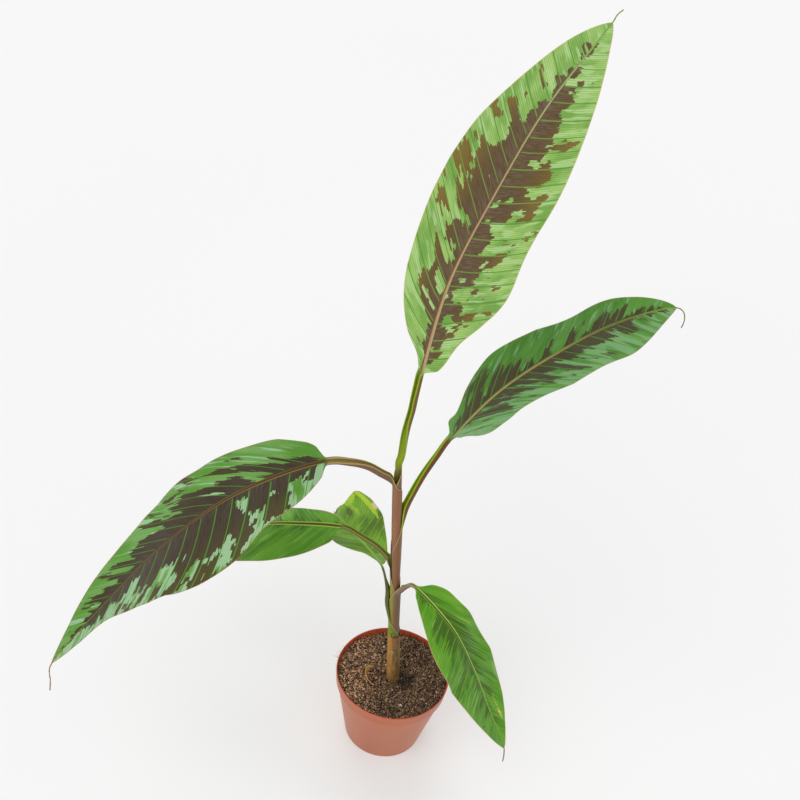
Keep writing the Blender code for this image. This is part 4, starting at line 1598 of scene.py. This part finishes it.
    def scatter(self, name: str, master: Object, places: Places, material: Material) -> None:
        """Copies a lump to many places, each turned and squeezed its own way, as one piece.

        Args:
            name: The piece's name.
            master: What is copied.
            places: Where each copy goes, and its size.
            material: The piece's finish.
        """
        shape = np.array([vertex.co for vertex in master.data.vertices])
        faces = [np.array(polygon.vertices) for polygon in master.data.polygons]
        vertices, all_faces = [], []
        for number, (place, size) in enumerate(places):
            turned = shape @ random_turn(self.draw)
            squeeze = np.array([self.draw.uniform(*span) for span in ((0.65, 1.3), (0.65, 1.3), (0.6, 1.0))])
            jitter = 1 + 0.25 * np.array([self.draw.uniform(-1, 1) for _ in range(len(shape))])[:, None]
            vertices.append(turned * squeeze * jitter * size + np.array(place))
            all_faces += [face + number * len(shape) for face in faces]
        piece = mesh_piece(name, np.vstack(vertices), all_faces)
        apply_all(piece)
        settle(piece, [], material)

    def build_fibres(self) -> None:
        """Lays short bent fibres all over the bed."""
        vertices, faces = [], []
        for _ in range(self.fibres):
            length = self.draw.uniform(1.5, 6.5) * MM
            x, y = self.on_bed(0.6 * length)
            bearing, bend = self.draw.uniform(0, 2 * math.pi), self.draw.uniform(-1.2, 1.2)
            path = []
            for step in range(6):
                share = step / 5 - 0.5
                turn = bearing + bend * share
                px, py = x + share * length * math.cos(turn), y + share * length * math.sin(turn)
                lift = self.draw.uniform(0.2, 1.0) * MM + 0.6 * MM * (share + 0.5) * self.draw.random()
                path.append((px, py, self.height(px, py) + lift))
            add_tube(vertices, faces, np.array(path), self.draw.uniform(0.07, 0.2) * MM, 4)
        piece = mesh_piece("bark_fibres", np.vstack(vertices), faces)
        apply_all(piece)
        settle(piece, [], FIBRE.material())


def random_turn(draw: random.Random) -> np.ndarray:
    """A random rotation, from three angles.

    Args:
        draw: The random draw.

    Returns:
        The rotation's matrix.
    """
    a, b, c = (draw.uniform(0, 2 * math.pi) for _ in range(3))
    about_z = np.array([[math.cos(a), -math.sin(a), 0], [math.sin(a), math.cos(a), 0], [0, 0, 1]])
    about_x = np.array([[1, 0, 0], [0, math.cos(b), -math.sin(b)], [0, math.sin(b), math.cos(b)]])
    again = np.array([[math.cos(c), -math.sin(c), 0], [math.sin(c), math.cos(c), 0], [0, 0, 1]])
    return about_z @ about_x @ again


def add_tube(
    vertices: list[np.ndarray], faces: list[tuple[int, ...]], path: np.ndarray, radius: float, sides: int
) -> None:
    """Adds a closed tube, thinner at its ends, to lists of points and faces.

    Args:
        vertices: The blocks of points so far.
        faces: The faces so far.
        path: The points along the tube's middle.
        radius: Its radius at its thickest.
        sides: How many sides it has.
    """
    start = sum(len(block) for block in vertices)
    ahead = unit(np.gradient(path, axis=0))
    side = unit(np.cross(ahead, UP + 0.013))
    over = np.cross(side, ahead)
    turns = 2 * np.pi * np.arange(sides) / sides
    shares = np.linspace(0, 1, len(path))
    radii = radius * (0.35 + 0.65 * np.sin(np.pi * shares) ** 0.5)
    ring = side[:, None] * np.cos(turns)[:, None] + over[:, None] * np.sin(turns)[:, None]
    vertices.append((path[:, None] + ring * radii[:, None, None]).reshape(-1, 3))
    for row in range(len(path) - 1):
        for here in range(sides):
            there = (here + 1) % sides
            low, high = start + row * sides, start + (row + 1) * sides
            faces.append((low + here, low + there, high + there, high + here))
    faces.append(tuple(start + i for i in reversed(range(sides))))
    last = start + (len(path) - 1) * sides
    faces.append(tuple(last + i for i in range(sides)))


@dataclass(frozen=True)
class Peat:
    """Peaty soil: dark red-brown crumbs, each lighter or darker, with a painted shadow right of the stem and
    lighter towards the left.
    """

    name: str = "peat"
    gain: float = 1.0
    shadow_at: tuple[float, float] = (0.014, -0.005)
    shadow_reach: tuple[float, float] = (0.014, 0.005)
    lighter_left_span: tuple[float, float] = (-0.006, -0.036)

    def material(self) -> Material:
        """Builds the finish.

        Returns:
            The material.
        """
        shader = Shader(self.name)
        x, y, z = shader.place()
        where = shader.point(x, y, z)
        patch = shader.cloud(where, 340.0, 2.0)
        speck = shader.cloud(where, 820.0, 2.0)
        # The distance from the middle of a painted shadow in the hollow to the right of the stem.
        from_shadow = ((x - self.shadow_at[0]) ** 2.0 + (y - self.shadow_at[1]) ** 2.0) ** 0.5
        # Lighter towards the left: noise less a slope across x.
        dry = shader.cloud(where, 60.0, 2.0) - 4.0 * (x - 0.01)
        colour = shader.blend(patch.rise(0.42, 0.6), (50, 32, 22), (166, 126, 94))
        colour = shader.blend(speck.rise(0.54, 0.64) * 0.85, colour, (198, 158, 122))
        colour = shader.blend(speck.rise(0.48, 0.42) * 0.9, colour, (18, 11, 9))
        # A further lift in brightness towards the left.
        left = 1.0 + 0.6 * x.rise(*self.lighter_left_span)
        # Painted shadow: darker towards the hollow to the right of the stem.
        shadow_gain = 1.0 - 0.8 * from_shadow.rise(*self.shadow_reach)
        colour = shader.shade(colour, self.gain * (0.45 + 1.0 * dry) * left * shadow_gain)
        return shader.close(colour, 0.88, speck, 0.0003)


@dataclass(frozen=True)
class Patchy:
    """A rough natural finish: two colours in soft patches, with a streaky grain or level rings in some."""

    name: str
    first: Colour
    second: Colour
    scale: float
    detail: float = 2.0
    span: tuple[float, float] = (0.35, 0.65)
    share: float = 1.0
    grain: Point | None = None
    rings: float = 0.0
    roughness: float = 0.85
    relief: float = 0.0002

    def material(self) -> Material:
        """Builds the finish.

        Returns:
            The material.
        """
        shader = Shader(self.name)
        x, y, z = shader.place()
        height = shader.cloud(shader.point(x, y, z), self.scale, self.detail)
        colour = shader.blend(height.rise(*self.span) * self.share, self.first, self.second)
        if self.grain:
            across, over, up = self.grain
            height = shader.grain(x * across, y * over, z * up, 3.0)
            colour = shader.shade(colour, 0.75 + 0.5 * height)
        if self.rings:
            height = ((z * self.rings).sine() + 1.0) * 0.5
            colour = shader.shade(colour, 0.8 + 0.3 * height)
        return shader.close(colour, self.roughness, height, self.relief)


PERLITE = Patchy("perlite", (238, 230, 218), (186, 158, 128), 900.0, 3.0, (0.5, 0.7), 0.7, roughness=0.7)
MOSS = Patchy("moss", (120, 116, 40), (168, 146, 58), 520.0, span=(0.4, 0.6), roughness=0.8)
BARK = Patchy("bark", (88, 60, 44), (140, 104, 78), 330.0, grain=(400.0, 2200.0, 900.0))
FIBRE = Patchy("fibre", (112, 80, 56), (184, 146, 106), 260.0, relief=0.0001)
CORM = Patchy(
    "corm_skin", (112, 78, 50), (168, 128, 84), 260.0, 3.0, (0.3, 0.7), rings=2600.0, relief=0.0004
)


@dataclass(frozen=True)
class OldSheath:
    """The dry sleeve round the stem's foot, with two rings where leaves have come off."""

    top: float = 0.102
    layer: int = 0
    stem: Stem = Stem()
    ragged: float = 0.0016
    wall: float = 0.00045
    rings: int = 84
    steps: int = 72
    scars: tuple[float, float] = (0.0805, 0.1005)
    half_width: float = 0.006

    def build(self) -> None:
        """Draws the sleeve up ring by ring, roughens it and gives it its wall."""
        stem = self.stem
        foot = stem.point(0.0)
        radius = stem.radius_of(self.layer, 0.0)
        deselect_all()
        bpy.ops.mesh.primitive_circle_add(vertices=self.steps, radius=radius, location=tuple(foot))
        piece = take_new("old_sheath_sleeve")
        bpy.ops.object.transform_apply(location=True, rotation=True, scale=True)
        step = stem.axis * self.top / self.rings
        with editing(piece):
            for _ in range(self.rings):
                bpy.ops.mesh.extrude_region_move(TRANSFORM_OT_translate={"value": tuple(step)})
        self.roughen(piece)
        wall = piece.modifiers.new("wall", "SOLIDIFY")
        wall.thickness = self.wall
        wall.offset = 1.0
        apply_all(piece)
        with editing(piece):
            bpy.ops.mesh.normals_make_consistent(inside=False)
        hold_in_box(piece, "old_sheath")
        settle(piece, ["old_sheath"], self.material())

    def roughen(self, piece: Object) -> None:
        """Moves the sleeve's points: fibres along it, the rings of the scars and a torn upper edge.

        Args:
            piece: The sleeve.
        """
        stem = self.stem
        foot = stem.point(0.0)
        for vertex in piece.data.vertices:
            place = np.array(vertex.co)
            height = float((place - foot) @ stem.axis)
            out = place - foot - stem.axis * height
            bearing = math.atan2(out[1], out[0])
            around = Vector((math.cos(bearing), math.sin(bearing), 0.0))
            fibre = 0.00012 * noise.noise(around * 7.0 + Vector((0, 0, height * 12)))
            ring = sum(math.exp(-(((height - scar) / 0.0007) ** 2)) for scar in self.scars)
            torn = self.ragged * noise.noise(around * 3.3) * float(smooth_step((height - 0.096) / 0.006))
            scale = stem.radius_of(self.layer, height) - stem.wall / 2 + fibre + 0.00022 * ring
            place = foot + stem.axis * (height + torn - 0.0008 * (height > 0.1)) + unit(out) * scale
            vertex.co = place

    def material(self) -> Material:
        """Golden-olive dry sheath with grey fibres, an orange-brown band between dark rings, and painted
        light: golden and lighter on the left, darker on the right.

        Returns:
            The material.
        """
        stem = self.stem
        shader = Shader("dry_sheath")
        x, y, z = shader.place()
        lean = math.tan(stem.lean)
        centred = x - stem.foot[0] + lean * (z - stem.foot[2])
        height = (z - stem.foot[2]) / math.cos(stem.lean) - centred * math.sin(stem.lean)
        fibre = shader.grain(centred * 1600.0, y * 1600.0, z * 45.0, 3.0)
        patch = shader.grain(centred * 260.0, y * 260.0, z * 130.0, 3.0)
        colour = shader.blend(patch.rise(0.35, 0.65), (138, 98, 44), (178, 136, 66))
        colour = shader.blend(fibre.rise(0.52, 0.66) * 0.7, colour, (188, 170, 132))
        colour = shader.blend(fibre.rise(0.46, 0.36) * 0.6, colour, (84, 62, 30))
        lower, upper = self.scars
        between = height.rise(lower, lower + 0.002) * height.rise(upper + 0.001, upper)
        colour = shader.blend(between * (0.35 + 0.5 * patch), colour, (150, 92, 40))
        for scar in self.scars:
            wander = height - scar + 0.0012 * (patch - 0.5)
            line = abs(wander).rise(0.0011, 0.0003)
            colour = shader.blend(line * 0.85, colour, (58, 44, 34))
            pale = abs(wander - 0.0012).rise(0.0007, 0.0002)
            colour = shader.blend(pale * fibre.rise(0.45, 0.6) * 0.8, colour, (190, 178, 150))
        across = centred / self.half_width
        # Painted light: golden and lighter on the stem's left side, darker on its right.
        colour = shader.blend(across.rise(0.1, -0.9) * 0.6, colour, (196, 140, 52))
        colour = shader.shade(colour, 1.15 - 0.45 * across.rise(-0.6, 0.6))
        return shader.close(colour, 0.62, fibre, 0.0003)


@dataclass(frozen=True)
class CurledScrap:
    """A curled scrap of old sheath that stands on the soil by the stem."""

    soil: Soil = Soil()
    height: float = 0.0065
    lean: float = 0.0018
    wall: float = 0.0005
    rows: int = 7
    path: tuple[tuple[float, float], ...] = (
        (-0.0185, 0.006), (-0.0235, 0.005), (-0.0268, 0.0), (-0.0268, -0.0065), (-0.0238, -0.013),
        (-0.0165, -0.017),
    )

    def build(self) -> None:
        """Raises a sheet along the path, curls it outwards and gives it its wall."""
        line = smooth_line([(x, y, 0.0) for x, y in self.path], 0.0012)
        vertices, rows = [], self.rows
        for share, (x, y, _) in zip(np.linspace(0, 1, len(line)), line):
            tall = self.height * math.sin(math.pi * (0.12 + 0.76 * share))
            tall += 0.0005 * noise.noise(Vector((x, y, 0)) * 900)
            foot = self.soil.height(x, y) - 0.0003
            out = np.array([x, y, 0.0]) / math.hypot(x, y)
            for row in range(rows):
                rise = row / (rows - 1)
                wave = 0.0004 * noise.noise(Vector((x, y, rise * 0.004)) * 400)
                spot = np.array([x, y, foot + tall * rise]) + out * (self.lean * rise**1.6 + wave)
                vertices.append(spot)
        faces = [
            (low + row, low + row + 1, low + rows + row + 1, low + rows + row)
            for low in range(0, rows * (len(line) - 1), rows)
            for row in range(rows - 1)
        ]
        piece = mesh_piece("curled_scrap", np.array(vertices), faces)
        wall = piece.modifiers.new("wall", "SOLIDIFY")
        wall.thickness = self.wall
        wall.offset = 0.0
        apply_all(piece)
        hold_in_box(piece, "dry_scale")
        settle(piece, ["dry_scale"], self.material())

    def material(self) -> Material:
        """Tan-orange dry sheath, darker and browner towards the soil.

        Returns:
            The material.
        """
        shader = Shader("dry_scrap")
        x, y, z = shader.place()
        grain = shader.grain(x * 900.0, y * 900.0, z * 160.0, 3.0)
        colour = shader.blend(grain.rise(0.35, 0.65), (204, 142, 72), (240, 188, 112))
        colour = shader.blend(z.rise(0.0884, 0.0866) * 0.8, colour, (96, 66, 44))
        return shader.close(colour, 0.6, grain, 0.0003)


@dataclass(frozen=True)
class RootHairs:
    """A few root hairs that grow out of the soil and hang over the pot's rim."""

    pot: Pot = Pot()
    soil: Soil = Soil()
    count: int = 9
    radius: float = 0.00009
    bearing: float = math.radians(166.0)

    def build(self) -> None:
        """Bends each hair from the soil over the lip and out into the air."""
        draw = random.Random(5)
        vertices, faces = [], []
        for _ in range(self.count):
            turn = self.bearing + draw.uniform(-0.2, 0.16)
            reach = draw.uniform(0.0025, 0.0065)
            rim, top, low = self.pot.rim_radius, self.pot.height, self.soil.top
            sway = draw.uniform(-0.05, 0.05)
            path = [
                (rim - 0.006, turn, low - 0.001),
                (rim - 0.0028, turn, low + 0.004),
                (rim - 0.0006, turn + sway / 4, top + 0.0004),
                (rim + reach * 0.5, turn + sway / 2, top + draw.uniform(0.0, 0.0022)),
                (rim + reach, turn + sway, top + draw.uniform(-0.001, 0.004)),
            ]
            points = [(r * math.cos(a), r * math.sin(a), z) for r, a, z in path]
            add_tube(vertices, faces, smooth_line(points, 0.0008), self.radius, 5)
        piece = mesh_piece("root_hairs", np.vstack(vertices), faces)
        apply_all(piece)
        settle(piece, [], FIBRE.material())


@dataclass(frozen=True)
class Studio:
    """The plain pale floor and the soft lights."""

    floor_size: float = 16.0
    floor_glow: float = 0.32
    room_light: float = 0.42

    def build(self) -> None:
        """Makes the floor, the lights and the pale surroundings."""
        deselect_all()
        bpy.ops.mesh.primitive_plane_add(size=self.floor_size, location=(0, 0, 0))
        floor = take_new("floor")
        shader = Shader("pale_floor")
        x, y, _ = shader.place()
        tone = shader.cloud(shader.point(x, y, 0.0), 1.3, 1.0)
        colour = shader.blend(tone, (210, 210, 210), (206, 206, 206))
        white = (1.0, 1.0, 1.0, 1.0)
        glow = {"Specular IOR Level": 0.1, "Emission Color": white, "Emission Strength": self.floor_glow}
        floor.data.materials.append(shader.close(colour, 0.9, None, 0.0, glow))
        self.add_sun("key", (-0.9, -1.0, 1.5), 55.0, 1.2)
        self.add_sun("fill", (1.2, -0.7, 1.2), 80.0, 0.4)
        self.add_sun("back", (-0.35, 1.0, 1.0), 50.0, 0.85)
        world = bpy.data.worlds.new("pale_room")
        bpy.context.scene.world = world
        world.use_nodes = True
        background = world.node_tree.nodes["Background"]
        background.inputs["Color"].default_value = white
        background.inputs["Strength"].default_value = self.room_light
        bpy.context.scene.view_settings.view_transform = "Standard"

    @staticmethod
    def add_sun(name: str, towards: Point, spread: float, strength: float) -> None:
        """Adds a broad, even light from one direction.

        Args:
            name: The light's name.
            towards: The direction that it comes from.
            spread: How wide it looks from the plant, in degrees.
            strength: Its strength, in watts to the square metre.
        """
        data = bpy.data.lights.new(name, "SUN")
        data.energy = strength
        data.angle = math.radians(spread)
        light = bpy.data.objects.new(name, data)
        light.location = towards
        light.rotation_euler = Vector(towards).to_track_quat("Z", "Y").to_euler()
        bpy.context.scene.collection.objects.link(light)


YOUNG = LeafFinish(
    name="young_blade", veins=Veins(0.9, 0.35, 3.0, 0.0085), greens=((98, 138, 52), (136, 190, 58)),
    pale=(182, 220, 80), pale_and_sheen_share=(-0.05, -0.03), vein=(138, 188, 62), vein_on_mark=(118, 160, 56),
    margin=(176, 170, 70), mark=((100, 116, 56), (112, 134, 60)), mark_level=0.53, mark_spread=0.2,
    mark_edge=0.16,
    zones=((0.2, 0.4, 0.5, 0.6, 0.6, 0.6, 0.5, 0.2, 0.0),
           (0.2, 0.5, 0.6, 0.7, 0.7, 0.6, 0.5, 0.2, 0.0)),
    mark_strength=0.45, channel=(132, 176, 72), rib_tip=(130, 172, 66),
    stalk=((92, 98, 42), (98, 110, 44)), sheath=((130, 108, 52), (112, 146, 34)),
    sheath_green_share=0.1, under=(118, 158, 80), seed=2.0, streaky=0.5, channel_far=(132, 176, 72),
    edges=((156, 196, 90), (170, 206, 90)), rib_width=0.8,
    spots=(
        Spot((240, 214, 175), 62.0, 34.5, 3.4, 3.2),
        Spot((96, 112, 52), 74.0, 11.0, 6.0, 3.2, 0.85),
        Spot((196, 226, 66), 68.0, 31.0, 20.0, 2.4, 0.9, 0.5),
        Spot((190, 226, 70), 83.0, 22.0, 6.0, 9.0, 0.85, 0.5),
        Spot((176, 208, 76), 76.0, 17.0, 12.0, 1.6, 0.7, 0.7),
        Spot((150, 96, 60), 97.0, 0.0, 4.5, 6.0, 0.9),
    ),
)

GREEN = LeafFinish(
    name="green_blade", veins=Veins(2.0, 0.45, 2.0, 0.0105), greens=((84, 148, 30), (114, 172, 50)),
    pale=(132, 184, 74), pale_and_sheen_share=(0.03, 0.03), vein=(112, 172, 44), vein_on_mark=(96, 150, 40),
    margin=(206, 190, 120), mark=((62, 80, 26), (70, 104, 28)), mark_level=0.5, mark_spread=0.4,
    mark_edge=0.14,
    zones=((0.2, 0.55, 0.6, 0.6, 0.55, 0.5, 0.35, 0.1, 0.0),
           (0.3, 0.6, 0.7, 0.7, 0.65, 0.6, 0.45, 0.2, 0.0)),
    mark_strength=0.72, channel=(92, 84, 34), rib_tip=(130, 180, 58),
    stalk=((146, 116, 98), (168, 156, 108)), sheath=((138, 102, 78), (142, 134, 46)),
    sheath_green_share=-0.2, under=(104, 152, 84), seed=5.0, streaky=0.9, stripe=0.9,
    channel_far=(132, 170, 62), edges=((160, 208, 84), (120, 168, 54)), rib_width=0.85,
    spots=(
        Spot((150, 190, 120), 138.0, -25.5, 15.0, 2.6, 0.5, 0.8),
        Spot((216, 206, 90), 166.0, -10.2, 17.0, 1.5, 0.85, 1.0, 0.7),
        Spot((222, 214, 110), 182.0, -10.4, 9.0, 2.6, 0.95, 1.0, 0.7),
        Spot((70, 70, 40), 176.0, 17.7, 1.6, 1.4, 0.9),
    ),
)

DEEP_GREEN = LeafFinish(
    name="deep_green_blade", veins=Veins(0.9, 0.9, 3.0, 0.0105), greens=((78, 136, 28), (106, 166, 46)),
    pale=(122, 176, 78), pale_and_sheen_share=(0.05, 0.05), vein=(108, 168, 46), vein_on_mark=(88, 144, 40),
    margin=(196, 158, 98), mark=((50, 62, 28), (64, 92, 30)), mark_level=0.52, mark_spread=0.4,
    mark_edge=0.12,
    zones=((0.2, 0.2, 0.25, 0.25, 0.2, 0.15, 0.1, 0.0, 0.0),
           (0.2, 0.35, 0.35, 0.35, 0.3, 0.3, 0.2, 0.1, 0.0)),
    mark_strength=0.7, channel=(92, 62, 26), rib_tip=(118, 160, 50),
    stalk=((114, 82, 66), (140, 152, 60)), sheath=((98, 68, 42), (144, 138, 52)),
    sheath_green_share=0.25, under=(108, 148, 84), seed=8.0, streaky=0.9, stripe=0.9,
    channel_far=(104, 84, 30), edges=((150, 190, 58), (150, 190, 58)), rib_width=1.25,
)

DARK_GREEN = LeafFinish(
    name="dark_green_blade", veins=Veins(0.8, 0.75, 3.0, 0.0135), greens=((72, 130, 34), (96, 154, 60)),
    pale=(124, 172, 112), pale_and_sheen_share=(0.07, 0.2), vein=(76, 150, 34), vein_on_mark=(78, 142, 40),
    margin=(186, 148, 108), mark=((72, 52, 34), (74, 78, 36)), mark_level=0.51, mark_spread=0.42,
    mark_edge=0.03,
    zones=((0.5, 0.85, 0.75, 0.4, 0.15, 0.3, 0.45, 0.35, 0.0),
           (0.0, 0.45, 0.6, 0.6, 0.6, 0.5, 0.5, 0.2, 0.0)),
    mark_strength=0.92, channel=(196, 150, 108), rib_tip=(124, 164, 58),
    stalk=((112, 74, 36), (158, 188, 36)), sheath=((146, 102, 70), (110, 90, 48)),
    sheath_green_share=-0.5, under=(112, 150, 96), seed=12.0, streaky=0.3, mark_size=(11.0, 22.0),
    channel_far=(122, 84, 34), edges=((104, 150, 44), (126, 150, 58)), rib_width=1.15,
    holes=(0.12, 0.1), dry=(124, 140, 72), ribbing=0.45,
)

DARK = LeafFinish(
    name="dark_blade", veins=Veins(0.5, 1.7, 2.0, 0.0185), greens=((92, 148, 52), (118, 168, 88)),
    pale=(160, 198, 154), pale_and_sheen_share=(0.22, 0.06), vein=(78, 156, 38), vein_on_mark=(80, 144, 36),
    margin=(176, 110, 80), mark=((66, 48, 38), (80, 68, 32)), mark_level=0.505, mark_spread=0.36,
    mark_edge=0.012,
    zones=((0.3, 0.7, 0.9, 0.95, 0.9, 0.85, 0.7, 0.3, 0.0),
           (0.2, 0.4, 0.6, 0.8, 0.75, 0.65, 0.55, 0.3, 0.0)),
    mark_strength=0.97, channel=(88, 60, 30), rib_tip=(130, 140, 54),
    stalk=((124, 92, 74), (176, 156, 96)), sheath=((154, 106, 74), (104, 84, 54)),
    sheath_green_share=-0.7, under=(124, 144, 112), seed=17.0, bloom=0.05, channel_far=(104, 80, 34),
    edges=((126, 120, 52), (112, 88, 42)), rib_width=0.85, holes=(0.3, 0.14),
)

LIGHT = LeafFinish(
    name="light_blade", veins=Veins(0.66, 0.38, 3.0, 0.0165), greens=((120, 168, 74), (160, 200, 108)),
    pale=(172, 206, 134), pale_and_sheen_share=(0.1, 0.12), vein=(84, 148, 44), vein_on_mark=(120, 150, 66),
    margin=(216, 190, 124), mark=((98, 70, 48), (132, 106, 46)), mark_level=0.515, mark_spread=0.36,
    mark_edge=0.012,
    zones=((0.35, 0.4, 0.5, 0.65, 0.85, 0.8, 0.55, 0.15, 0.0),
           (0.1, 0.55, 0.65, 0.6, 0.65, 0.7, 0.6, 0.2, 0.0)),
    mark_strength=0.96, channel=(200, 150, 122), rib_tip=(132, 178, 86),
    stalk=((122, 88, 44), (148, 170, 38)), sheath=((136, 100, 80), (142, 152, 52)),
    sheath_green_share=0.0, under=(146, 184, 104), seed=23.0, bloom=0.14, holes=(0.22, 0.16),
    channel_far=(190, 176, 136), edges=((112, 98, 44), (170, 176, 120)), dry=(138, 168, 70),
)

LEAVES = (
    Leaf(
        "leaf_1", Slot.YOUNG_LEAF, 1, 5, 0.122, 0.02, (0.0016, 0.0013), (0.022, 0.0038),
        petiole=((-0.0232, 0.006, 0.222),),
        midrib=((-0.031, 0.015, 0.241), (-0.046, 0.034, 0.241), (-0.065, 0.051, 0.243),
                (-0.0785, 0.07, 0.24), (-0.0875, 0.089, 0.2285)),
        thread=((-0.0895, 0.093, 0.2245),),
        left=0.023, right=0.036, rise=0.76, fall=0.62, twist=(46, -6, -41),
        lifts=((4, 4, 6, 6, 12, 18), (-22, -8, 2, 10, 26, 36)),
        lobes=((1.0, 0.98, 0.93, 0.91, 0.89, 0.95, 0.98, 1.01, 0.7),
               (0.8, 0.81, 0.84, 0.9, 1.0, 1.0, 1.0, 1.12, 0.9)), finish=YOUNG,
        torn=(0.83, 0.88, 0.5),
    ),
    Leaf(
        "leaf_2", Slot.GREEN_LEAF, 2, 10, 0.165, 0.018, (0.0034, 0.0021), (0.005, 0.003),
        petiole=((-0.002, -0.0098, 0.2445),),
        midrib=((0.0041, -0.0175, 0.2555), (0.046, -0.046, 0.239), (0.075, -0.054, 0.193),
                (0.099, -0.06, 0.143), (0.124, -0.071, 0.095)),
        thread=((0.1255, -0.074, 0.087), (0.126, -0.075, 0.077)),
        left=0.029, right=0.034, rise=0.63, fall=0.81, twist=(4, 13, 8),
        lifts=((-7, -2, 1, 6, 10, 9), (3, -4, -7, -1, 10, 17)),
        lobes=((1.6, 1.45, 1.31, 1.04, 0.99, 1.02, 1.01, 0.98, 0.7),
               (0.7, 0.49, 0.71, 0.9, 1.07, 1.04, 1.02, 0.97, 1.0)), finish=GREEN,
    ),
    Leaf(
        "leaf_3", Slot.GREEN_LEAF, 3, 4, 0.194, 0.03, (0.0032, 0.0026), (0.008, 0.0016),
        petiole=((-0.0284, 0.0077, 0.2653), (-0.0398, 0.0127, 0.2713), (-0.0566, 0.0207, 0.2732)),
        midrib=((-0.074, 0.03, 0.272), (-0.126, 0.036, 0.259), (-0.169, 0.054, 0.227),
                (-0.208, 0.071, 0.19), (-0.246, 0.082, 0.151)),
        thread=((-0.25, 0.083, 0.145),),
        left=0.042, right=0.029, rise=0.67, fall=0.81, twist=(-14, -11, -2),
        lifts=((3, -10, -12, -8, 1, 14), (2, -11, -12, -3, 6, 7)),
        lobes=((1.0, 1.21, 1.03, 1.0, 1.04, 1.02, 1.02, 1.03, 0.7),
               (1.0, 1.0, 0.94, 0.84, 0.89, 0.97, 0.91, 0.99, 0.7)), finish=DEEP_GREEN,
    ),
    Leaf(
        "leaf_4", Slot.DARK_LEAF, 4, 1, 0.256, 0.03, (0.0042, 0.0033), (0.01, 0.002),
        petiole=((-0.0157, 0.0063, 0.3453), (-0.0104, 0.012, 0.3634), (-0.0041, 0.0179, 0.3796),
                 (0.0042, 0.0261, 0.3953)),
        midrib=((0.0123, 0.0342, 0.4108), (0.048, 0.067, 0.45), (0.093, 0.093, 0.485),
                (0.144, 0.118, 0.514), (0.2, 0.142, 0.527)),
        thread=((0.209, 0.146, 0.5205), (0.2125, 0.148, 0.509), (0.212, 0.149, 0.499)),
        left=0.046, right=0.055, rise=0.53, fall=0.83, twist=(-42, -4, 7),
        lifts=((3, 4, -1, -6, 3, 14), (9, 5, 8, 6, 1, 8)),
        lobes=((1.2, 1.45, 0.88, 1.04, 1.23, 1.02, 0.84, 1.05, 1.06),
               (1.0, 0.9, 1.47, 1.12, 0.96, 0.92, 0.94, 1.17, 1.02)), finish=DARK_GREEN,
    ),
    Leaf(
        "leaf_5", Slot.DARK_LEAF, 5, 6, 0.317, 0.007, (0.0043, 0.0037), (0.006, 0.0032),
        petiole=((-0.0483, -0.0068, 0.3905), (-0.0609, -0.0094, 0.3995), (-0.0768, -0.0128, 0.4056)),
        midrib=((-0.0961, -0.0169, 0.408), (-0.171, -0.054, 0.386), (-0.233, -0.076, 0.324),
                (-0.282, -0.095, 0.251), (-0.329, -0.124, 0.18)),
        thread=((-0.331, -0.126, 0.172), (-0.3305, -0.126, 0.156), (-0.331, -0.127, 0.14)),
        left=0.057, right=0.047, rise=0.71, fall=0.95, twist=(-45, 8, 3),
        lifts=((2, 5, -2, 6, 20, 18), (14, 5, 4, 9, 15, 17)),
        lobes=((1.0, 0.89, 0.86, 0.83, 1.12, 1.2, 1.03, 0.78, 0.94),
               (1.4, 1.3, 1.12, 0.93, 0.93, 1.13, 1.01, 0.9, 0.6)), finish=DARK,
    ),
    Leaf(
        "leaf_6", Slot.LIGHT_LEAF, 6, 2, 0.335, 0.014, (0.0036, 0.0036), (0.01, 0.0004),
        petiole=((-0.03, 0.0047, 0.4093), (-0.0297, 0.0056, 0.4381), (-0.0271, 0.0079, 0.4673)),
        midrib=((-0.0259, 0.0119, 0.5064), (-0.016, 0.045, 0.587), (0.009, 0.078, 0.663),
                (0.04, 0.117, 0.734), (0.081, 0.166, 0.792)),
        thread=((0.084, 0.169, 0.799), (0.088, 0.171, 0.803)),
        left=0.051, right=0.062, rise=0.62, fall=0.79, twist=(-20, -18, 7),
        lifts=((-8, 8, 17, 13, 7, 7), (5, 2, -5, -4, 2, 16)),
        lobes=((0.5, 0.4, 0.83, 0.95, 1.04, 1.12, 1.12, 1.02, 1.19),
               (0.9, 0.79, 0.7, 0.94, 1.15, 1.02, 1.03, 1.0, 0.85)), finish=LIGHT,
    ),
)


def main() -> None:
    """Builds every piece in order and dresses the solid that is kept."""
    logging.basicConfig(level=logging.INFO, format="%(message)s")
    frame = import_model()
    for part in (View(), Pot(), Soil()):
        part.build()
    paint(frame["nodes"]["corm"], CORM.material())
    for part in (OldSheath(), CurledScrap(), RootHairs(), *LEAVES, Studio()):
        part.build()


if __name__ == "__main__":
    main()
